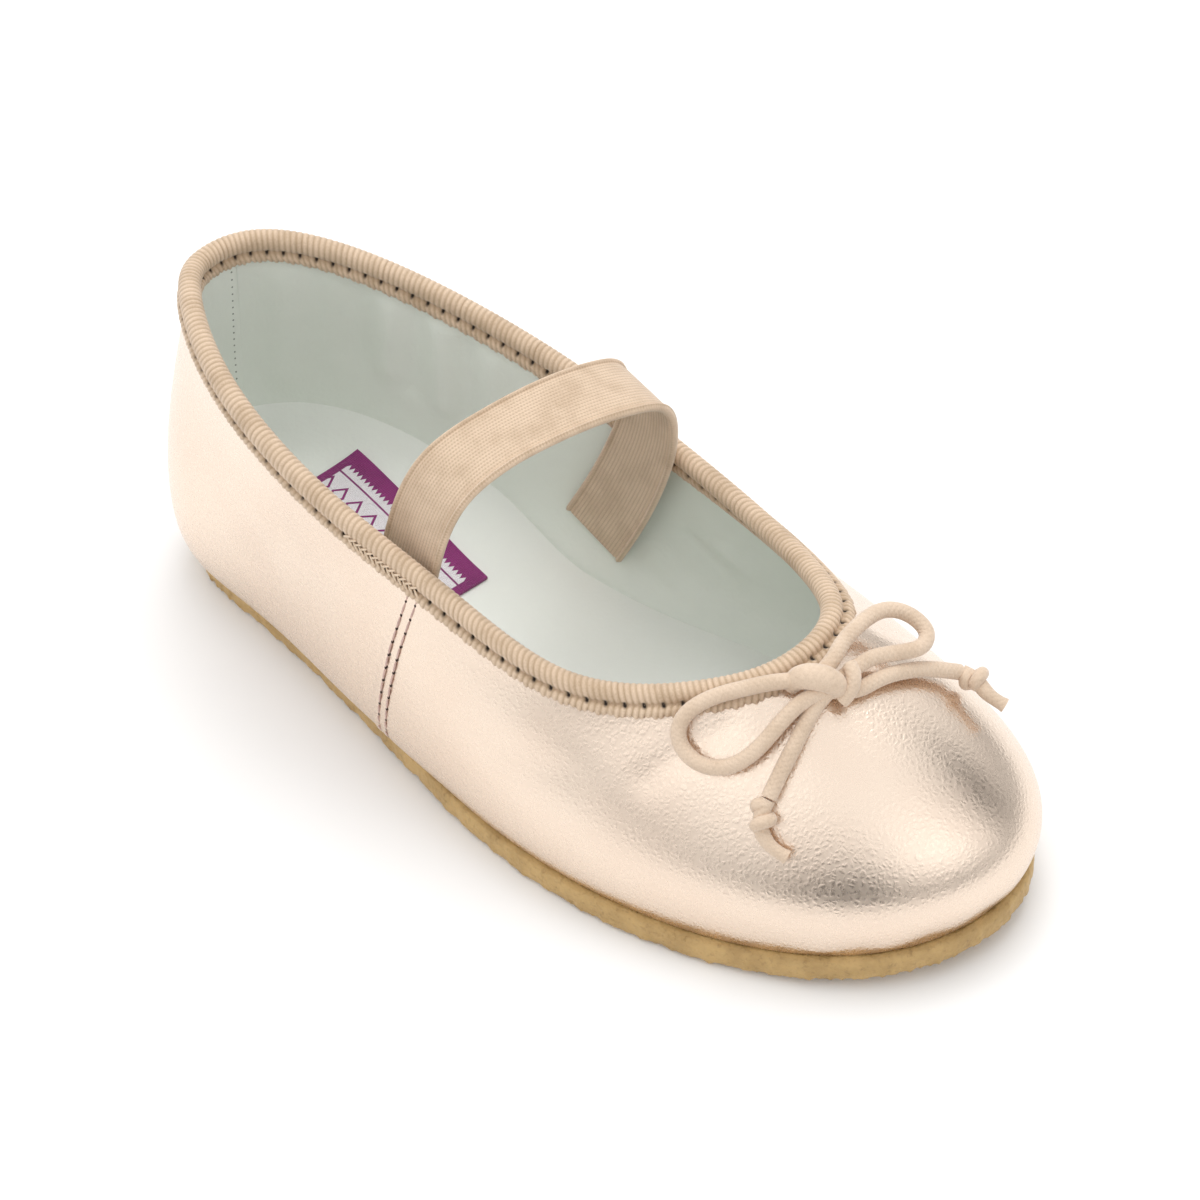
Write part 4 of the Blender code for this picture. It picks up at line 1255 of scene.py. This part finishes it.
@dataclass
class Strap:
    """The elastic strap: a ribbed band with a corded edge on both sides."""

    width: float = 12.5
    thickness: float = 1.2
    steps: int = 170
    route: tuple[tuple[float, float, float], ...] = (
        (58.8, -22.4, 15.8),
        (61.4, -22.3, 29.0),
        (63.7, -20.6, 41.4),
        (65.2, -18.7, 48.8),
        (66.9, -15.4, 54.0),
        (69.3, -9.6, 57.1),
        (72.1, -2.2, 58.5),
        (74.7, 5.4, 58.6),
        (76.7, 12.3, 57.3),
        (77.6, 17.4, 54.4),
        (77.4, 19.4, 47.6),
        (75.4, 19.5, 39.0),
        (72.2, 19.8, 31.0),
        (68.6, 20.2, 23.4),
        (64.4, 20.4, 15.4),
    )
    leans: tuple[tuple[float, float, float], ...] = (
        (0.95, -0.10, -0.22),
        (0.94, -0.33, -0.03),
        (0.95, -0.03, -0.30),
    )

    def half_thickness(self, place: Array) -> Array:
        """Half the band's thickness at places across it from -1 to 1: flat, with a bead at each edge."""
        bead = 0.34 * bell(np.abs(place) - 0.92, 0.055)
        gutter = -0.12 * bell(np.abs(place) - 0.82, 0.03)
        round_off = np.sqrt(np.clip(1.0 - ((np.abs(place) - 0.90) / 0.10).clip(0.0, 1.0) ** 2, 0.0, 1.0))
        return (0.42 + bead + gutter) * round_off

    def band(self) -> Skin:
        """Cross-sections along the route: the face, then the back."""
        middle = open_curve(self.route, self.steps)
        along = unit(np.gradient(middle, axis=0))
        lean = open_curve(self.leans, self.steps)
        across = unit(lean - (lean * along).sum(axis=1)[:, None] * along)
        through = np.cross(along, across)
        place = np.sin(np.linspace(-0.5, 0.5, 96) * math.pi)
        place = 0.5 * place + 0.5 * np.linspace(-1.0, 1.0, 96)
        half = self.half_thickness(place)
        round_ = np.concatenate([place, place[-2:0:-1]])
        height = np.concatenate([half, -half[-2:0:-1]])
        points = (
            middle[:, None]
            + across[:, None] * (0.5 * self.width * round_)[None, :, None]
            + through[:, None] * height[None, :, None]
        )
        run = np.concatenate([[0.0], np.cumsum(np.linalg.norm(np.diff(middle, axis=0), axis=1))])
        ring = np.append(round_, round_[0]) * 0.5 * self.width
        skin = Skin.lattice(points, ring, run, wrap=True)
        skin.uv = skin.uv[..., ::-1]
        return skin.closed_ends(len(round_))

    def dress(self) -> None:
        """Build the strap."""
        self.band().build("elastic_strap", ELASTIC.build(), Slot.STRAP, "instep_strap")


class SoleRing(NamedTuple):
    """A ring of the sole's side: how far it stands out, its height, and its roughness."""

    out: float
    height: float
    rough: float


@dataclass
class Outsole:
    """The crepe rubber sole: a thin slab with a torn-looking lower edge."""

    columns: int = 1200
    rings: tuple[SoleRing, ...] = (
        SoleRing(-2.4, 0.00, 0.1),
        SoleRing(-1.2, 0.00, 0.3),
        SoleRing(-0.55, 0.02, 0.8),
        SoleRing(-0.15, 0.08, 1.0),
        SoleRing(0.02, 0.18, 0.9),
        SoleRing(0.08, 0.32, 0.6),
        SoleRing(0.10, 0.48, 0.4),
        SoleRing(0.08, 0.64, 0.35),
        SoleRing(0.02, 0.80, 0.3),
        SoleRing(-0.10, 0.92, 0.25),
        SoleRing(-0.45, 1.00, 0.15),
        SoleRing(-1.4, 1.01, 0.0),
    )

    def ripple(self, turn: Array) -> tuple[Array, Array]:
        """Torn waves of the edge round the sole: in and out, and up from the floor."""
        angle = 2.0 * math.pi * turn
        wave = np.sin(83 * angle) + 0.7 * np.sin(131 * angle + 1.1) + 0.5 * np.sin(211 * angle + 0.4)
        slow = np.sin(29 * angle + 0.7) + 0.6 * np.sin(47 * angle)
        tear = np.abs(np.sin(97 * angle + 2.0 * np.sin(13 * angle))) ** 1.5
        return 0.10 * wave + 0.08 * slow, 0.55 * tear

    def slab(self) -> Skin:
        """Rings from under the sole, up its side and over its top edge, with both faces filled."""
        turn = np.arange(self.columns) / self.columns
        feather, away = LAST.feather(turn), LAST.away(turn)
        welt = LAST.column("welt", turn)
        sway, tear = self.ripple(turn)
        rings = []
        for ring in self.rings:
            plan = feather + away * (welt + ring.out + sway * ring.rough)[:, None]
            low = floor_height(feather[:, 0]) + SOLE_THICKNESS * ring.height
            edge = bell(np.array(ring.height - 0.05), 0.09) if -0.9 < ring.out else 0.0
            rings.append(np.column_stack([plan, low + tear * edge]))
        outer_top, outer_low = rings[-1][:, :2], rings[0][:, :2]
        share = np.linspace(0.9, 0.02, 12)

        def filled(plan: Array, lift: float) -> list[Array]:
            middle = 0.5 * (plan + np.roll(plan[::-1], 1, axis=0))
            flat = [middle + (plan - middle) * part for part in share]
            return [np.column_stack([p, floor_height(p[:, 0]) + SOLE_THICKNESS * lift]) for p in flat]

        rings = filled(outer_low, 0.0)[::-1] + rings + filled(outer_top, 1.0)
        points = np.array(rings)
        skin = Skin.lattice(points, np.arange(self.columns + 1.0), np.arange(len(rings) + 0.0), wrap=True)
        return skin.closed_ends(self.columns)

    def dress(self) -> None:
        """Build the sole."""
        self.slab().build("crepe_sole", CREPE.build(), Slot.SOLE, "outsole")


Route = tuple[tuple[float, float, float], ...]


@dataclass
class Bow:
    """The drawstring's bow: two lengths of cord, the knot over them, and a knot at each end."""

    cord: float = 2.4
    outer_half: Route = (
        (125.6, -6.4, 39.6),
        (123.9, -8.5, 40.2),
        (122.2, -9.9, 40.0),
        (119.3, -12.3, 39.1),
        (116.2, -15.2, 38.0),
        (114.4, -17.6, 36.9),
        (113.4, -19.9, 35.0),
        (113.9, -21.2, 32.7),
        (115.6, -21.7, 31.3),
        (118.2, -21.6, 30.5),
        (121.7, -19.9, 30.8),
        (123.9, -17.6, 32.5),
        (125.2, -14.7, 34.8),
        (126.0, -11.8, 36.8),
        (126.9, -9.2, 38.2),
        (128.6, -5.4, 38.4),
        (131.1, -1.4, 37.1),
        (132.1, 2.2, 36.8),
        (133.0, 5.2, 36.2),
        (134.1, 8.6, 34.9),
        (135.5, 12.0, 33.1),
        (137.4, 15.5, 30.9),
    )
    inner_half: Route = (
        (126.8, -4.4, 40.2),
        (127.0, -1.9, 41.0),
        (126.3, 1.2, 41.1),
        (126.0, 5.2, 41.3),
        (126.2, 8.2, 41.3),
        (127.0, 11.0, 41.0),
        (128.7, 12.9, 40.2),
        (131.0, 13.6, 39.2),
        (133.1, 13.0, 38.2),
        (133.8, 11.2, 37.8),
        (132.9, 8.6, 38.0),
        (131.3, 6.0, 38.5),
        (130.1, 3.4, 39.0),
        (129.5, 0.2, 39.2),
        (128.9, -3.6, 38.6),
        (128.3, -8.0, 36.9),
        (128.4, -11.4, 34.7),
        (128.5, -15.2, 31.8),
        (128.6, -19.4, 28.2),
    )
    outer_stub: Route = ((128.6, -19.6, 28.0), (129.0, -22.0, 25.6), (131.2, -23.0, 23.3), (134.2, -22.5, 21.9))
    inner_stub: Route = ((137.6, 15.8, 30.8), (139.6, 16.2, 30.2), (142.2, 15.6, 29.4), (145.2, 16.0, 28.2))
    wrap: Route = ((124.0, -7.9, 38.6), (125.0, -7.3, 40.4), (127.0, -6.1, 40.9), (129.1, -4.6, 39.8), (130.0, -3.6, 37.6))
    second: Route = ((129.4, -1.0, 40.6), (130.6, -1.8, 40.2), (131.2, -3.2, 38.6), (130.6, -4.6, 37.0))
    hint: tuple[float, float, float] = (0.35, 0.1, 0.93)

    def half(self, name: str, route: Route, nodes: tuple[str, ...], end: bpy.types.Object) -> None:
        """One continuous cord: its loop, the way through the knot, and its tail."""
        path = open_curve(route, 150)
        skin = swept(path, 0.5 * self.cord, 20, self.hint)
        cord = skin.build(name, self.finish, Slot.CORD, *nodes)

    def end_knot(self, name: str, stub: Route, node: str) -> bpy.types.Object:
        """A wound knot and its cut end: a strand coiled about the stub, and the stub itself."""
        core = open_curve(stub, 60)
        along = unit(np.gradient(core, axis=0))
        across = unit(np.cross(along, np.array(self.hint)))
        up = np.cross(across, along)
        share = np.linspace(0.0, 1.0, 60)
        radius = 1.15 - 0.15 * eased(0.5, 0.8, share) + 0.12 * bell(share - 1.0, 0.06)
        stub_skin = swept(core, radius, 14, self.hint)
        part = np.linspace(0.0, 1.0, 70)
        place = np.interp(0.10 + 0.34 * part, share, np.arange(60.0)).astype(int)
        angle = 2.0 * math.pi * 1.35 * part + 0.6
        reach = 1.35 * np.sin(math.pi * np.clip(part * 1.1, 0.0, 1.0)) ** 0.4 + 0.1
        coil = core[place] + reach[:, None] * (
            np.cos(angle)[:, None] * up[place] + np.sin(angle)[:, None] * across[place]
        )
        coil = open_curve(coil[::7], 90)
        coil_skin = swept(coil, 1.0, 12, tuple(along[len(along) // 4]))
        return stub_skin.with_(coil_skin).build(name, self.finish, Slot.CORD, node)

    def knot(self) -> Skin:
        """The knot's wrap over the crossing cords, and the second turn beside it."""
        first = open_curve(self.wrap, 40)
        swell = 1.25 + 0.75 * np.sin(math.pi * np.linspace(0.0, 1.0, 40)) ** 0.8
        second = open_curve(self.second, 30)
        return swept(first, swell, 18, (0.6, -0.7, 0.1)).with_(swept(second, 1.15, 16, (0.7, 0.6, 0.1)))

    def dress(self) -> None:
        """Build the end knots, the cords and the knot over them."""
        self.finish = COTTON.build()
        outer_end = self.end_knot("outer_end_knot", self.outer_stub, "bow_end_outer")
        inner_end = self.end_knot("inner_end_knot", self.inner_stub, "bow_end_inner")
        self.half("outer_bow_cord", self.outer_half, ("bow_loop_outer", "bow_tail_inner"), inner_end)
        self.half("inner_bow_cord", self.inner_half, ("bow_loop_inner", "bow_tail_outer"), outer_end)
        self.knot().build("bow_knot_wrap", self.finish, Slot.CORD, "bow_knot")


class Glow(NamedTuple):
    """A soft patch of the studio's surround: where it lies, its size, and its brightness."""

    azimuth: float
    elevation: float
    wide: float
    high: float
    change: float


class Lamp(NamedTuple):
    """A square softbox: where it stands, its size in metres and its power."""

    name: str
    azimuth: float
    elevation: float
    distance: float
    size: float
    power: float


@dataclass
class Studio:
    """The pale floor, the soft surround, the softboxes and the camera."""

    aim: tuple[float, float, float] = (0.0533, 0.0035, 0.022)
    distance: float = 0.57781
    azimuth: float = 40.436
    elevation: float = 43.288
    roll: float = -2.803
    lens: float = 113.0
    glows: tuple[Glow, ...] = (
        Glow(-57.0, 17.0, 17.0, 12.0, -0.95),
        Glow(-72.0, 2.0, 18.0, 10.0, -0.35),
        Glow(46.0, 31.0, 15.0, 17.0, -1.1),
        Glow(22.0, 45.0, 12.0, 8.0, -0.35),
        Glow(-12.0, 33.0, 24.0, 12.0, 0.5),
        Glow(-88.0, 45.0, 15.0, 16.0, 0.4),
        Glow(-15.0, 4.0, 62.0, 9.0, -0.6),
        Glow(82.0, 6.0, 24.0, 20.0, -0.45),
    )
    lamps: tuple[Lamp, ...] = (
        Lamp("overhead softbox", 110.0, 68.0, 1.0, 0.6, 3.5),
    )

    def floor(self) -> None:
        """A wide pale floor."""
        bpy.ops.mesh.primitive_plane_add(size=6.0, location=(0.0, 0.0, 0.0))
        floor = bpy.context.object
        floor.name = "floor"
        material, wiring, shader = Finish("pale floor", (0.93, 0.93, 0.93), (0.9, 0.9, 0.9), 0.6, specular=0.2).start()
        floor.data.materials.append(material)

    def surround(self) -> None:
        """The world: pale all round, with soft darker and brighter patches that the foil mirrors."""
        world = bpy.data.worlds.new("studio")
        bpy.context.scene.world = world
        bpy.context.scene.view_settings.view_transform = "Standard"
        world.use_nodes = True
        wiring = Wiring(world.node_tree)
        way = wiring.node("ShaderNodeTexCoord").outputs["Generated"]
        split = wiring.node("ShaderNodeSeparateXYZ", {0: way})
        total = wiring.between(split.outputs[2], -0.05, 0.5, 0.85, 1.12)
        azimuth = wiring.math("ARCTAN2", split.outputs[1], split.outputs[0])
        elevation = wiring.math("ARCSINE", split.outputs[2])
        for glow in self.glows:
            off = wiring.math("SUBTRACT", azimuth, math.radians(glow.azimuth))
            wide = wiring.math("DIVIDE", off, math.radians(glow.wide))
            rise = wiring.math("SUBTRACT", elevation, math.radians(glow.elevation))
            high = wiring.math("DIVIDE", rise, math.radians(glow.high))
            square = wiring.math("ADD", wiring.math("MULTIPLY", wide, wide), wiring.math("MULTIPLY", high, high))
            shape = wiring.math("EXPONENT", wiring.math("MULTIPLY", square, -1.0))
            total = wiring.math("ADD", total, wiring.math("MULTIPLY", shape, glow.change))
        strength = wiring.math("MAXIMUM", total, 0.03)
        background = world.node_tree.nodes["Background"]
        wiring.put(background.inputs["Strength"], strength)
        background.inputs["Color"].default_value = colour(1.0, 1.0, 1.0)

    def way(self, azimuth: float, elevation: float) -> Array:
        """A unit vector from the aim: azimuth from +X towards +Y, elevation up from the floor."""
        turn, rise = math.radians(azimuth), math.radians(elevation)
        return np.array([math.cos(turn) * math.cos(rise), math.sin(turn) * math.cos(rise), math.sin(rise)])

    def light(self) -> None:
        """The softboxes, each turned to the shoe."""
        for lamp in self.lamps:
            data = bpy.data.lights.new(lamp.name, "AREA")
            data.shape = "SQUARE"
            data.size = lamp.size
            data.energy = lamp.power
            light = bpy.data.objects.new(lamp.name, data)
            bpy.context.collection.objects.link(light)
            back = self.way(lamp.azimuth, lamp.elevation)
            across = unit(np.cross([0.0, 0.0, 1.0], back))
            turned = np.stack([across, np.cross(back, across), back], 1)
            light.matrix_world = Matrix.Translation(np.array(self.aim) + lamp.distance * back) @ Matrix(
                turned.tolist()
            ).to_4x4()

    def camera(self) -> None:
        """The camera at the photograph's angle, rolled as it is, aimed at the shoe's middle."""
        turn, rise, roll = (math.radians(angle) for angle in (self.azimuth, self.elevation, self.roll))
        back = np.array([math.sin(turn) * math.cos(rise), -math.cos(turn) * math.cos(rise), math.sin(rise)])
        level = np.array([math.cos(turn), math.sin(turn), 0.0])
        upright = np.cross(back, level)
        right = math.cos(roll) * level + math.sin(roll) * upright
        up = math.cos(roll) * upright - math.sin(roll) * level
        data = bpy.data.cameras.new("camera")
        data.lens = self.lens
        data.sensor_width = 36.0
        data.clip_start, data.clip_end = 0.01, 20.0
        camera = bpy.data.objects.new("camera", data)
        bpy.context.collection.objects.link(camera)
        turned = Matrix(np.stack([right, up, back], 1).tolist()).to_4x4()
        camera.matrix_world = Matrix.Translation(np.array(self.aim) + self.distance * back) @ turned
        bpy.context.scene.camera = camera

    def dress(self) -> None:
        """Set the camera, the floor, the surround and the softboxes."""
        self.camera()
        self.floor()
        self.surround()
        self.light()


def main() -> None:
    """Build the studio and then each sub-assembly of the shoe in order."""
    logging.basicConfig(level=logging.INFO, format="%(name)s %(message)s")
    parts = (Studio(), Bow(), Upper(), Lining(), Sock(), Binding(), Strap(), Outsole())
    for part in parts:
        part.dress()
        log.info("%s dressed", type(part).__name__)


if __name__ == "__main__":
    main()
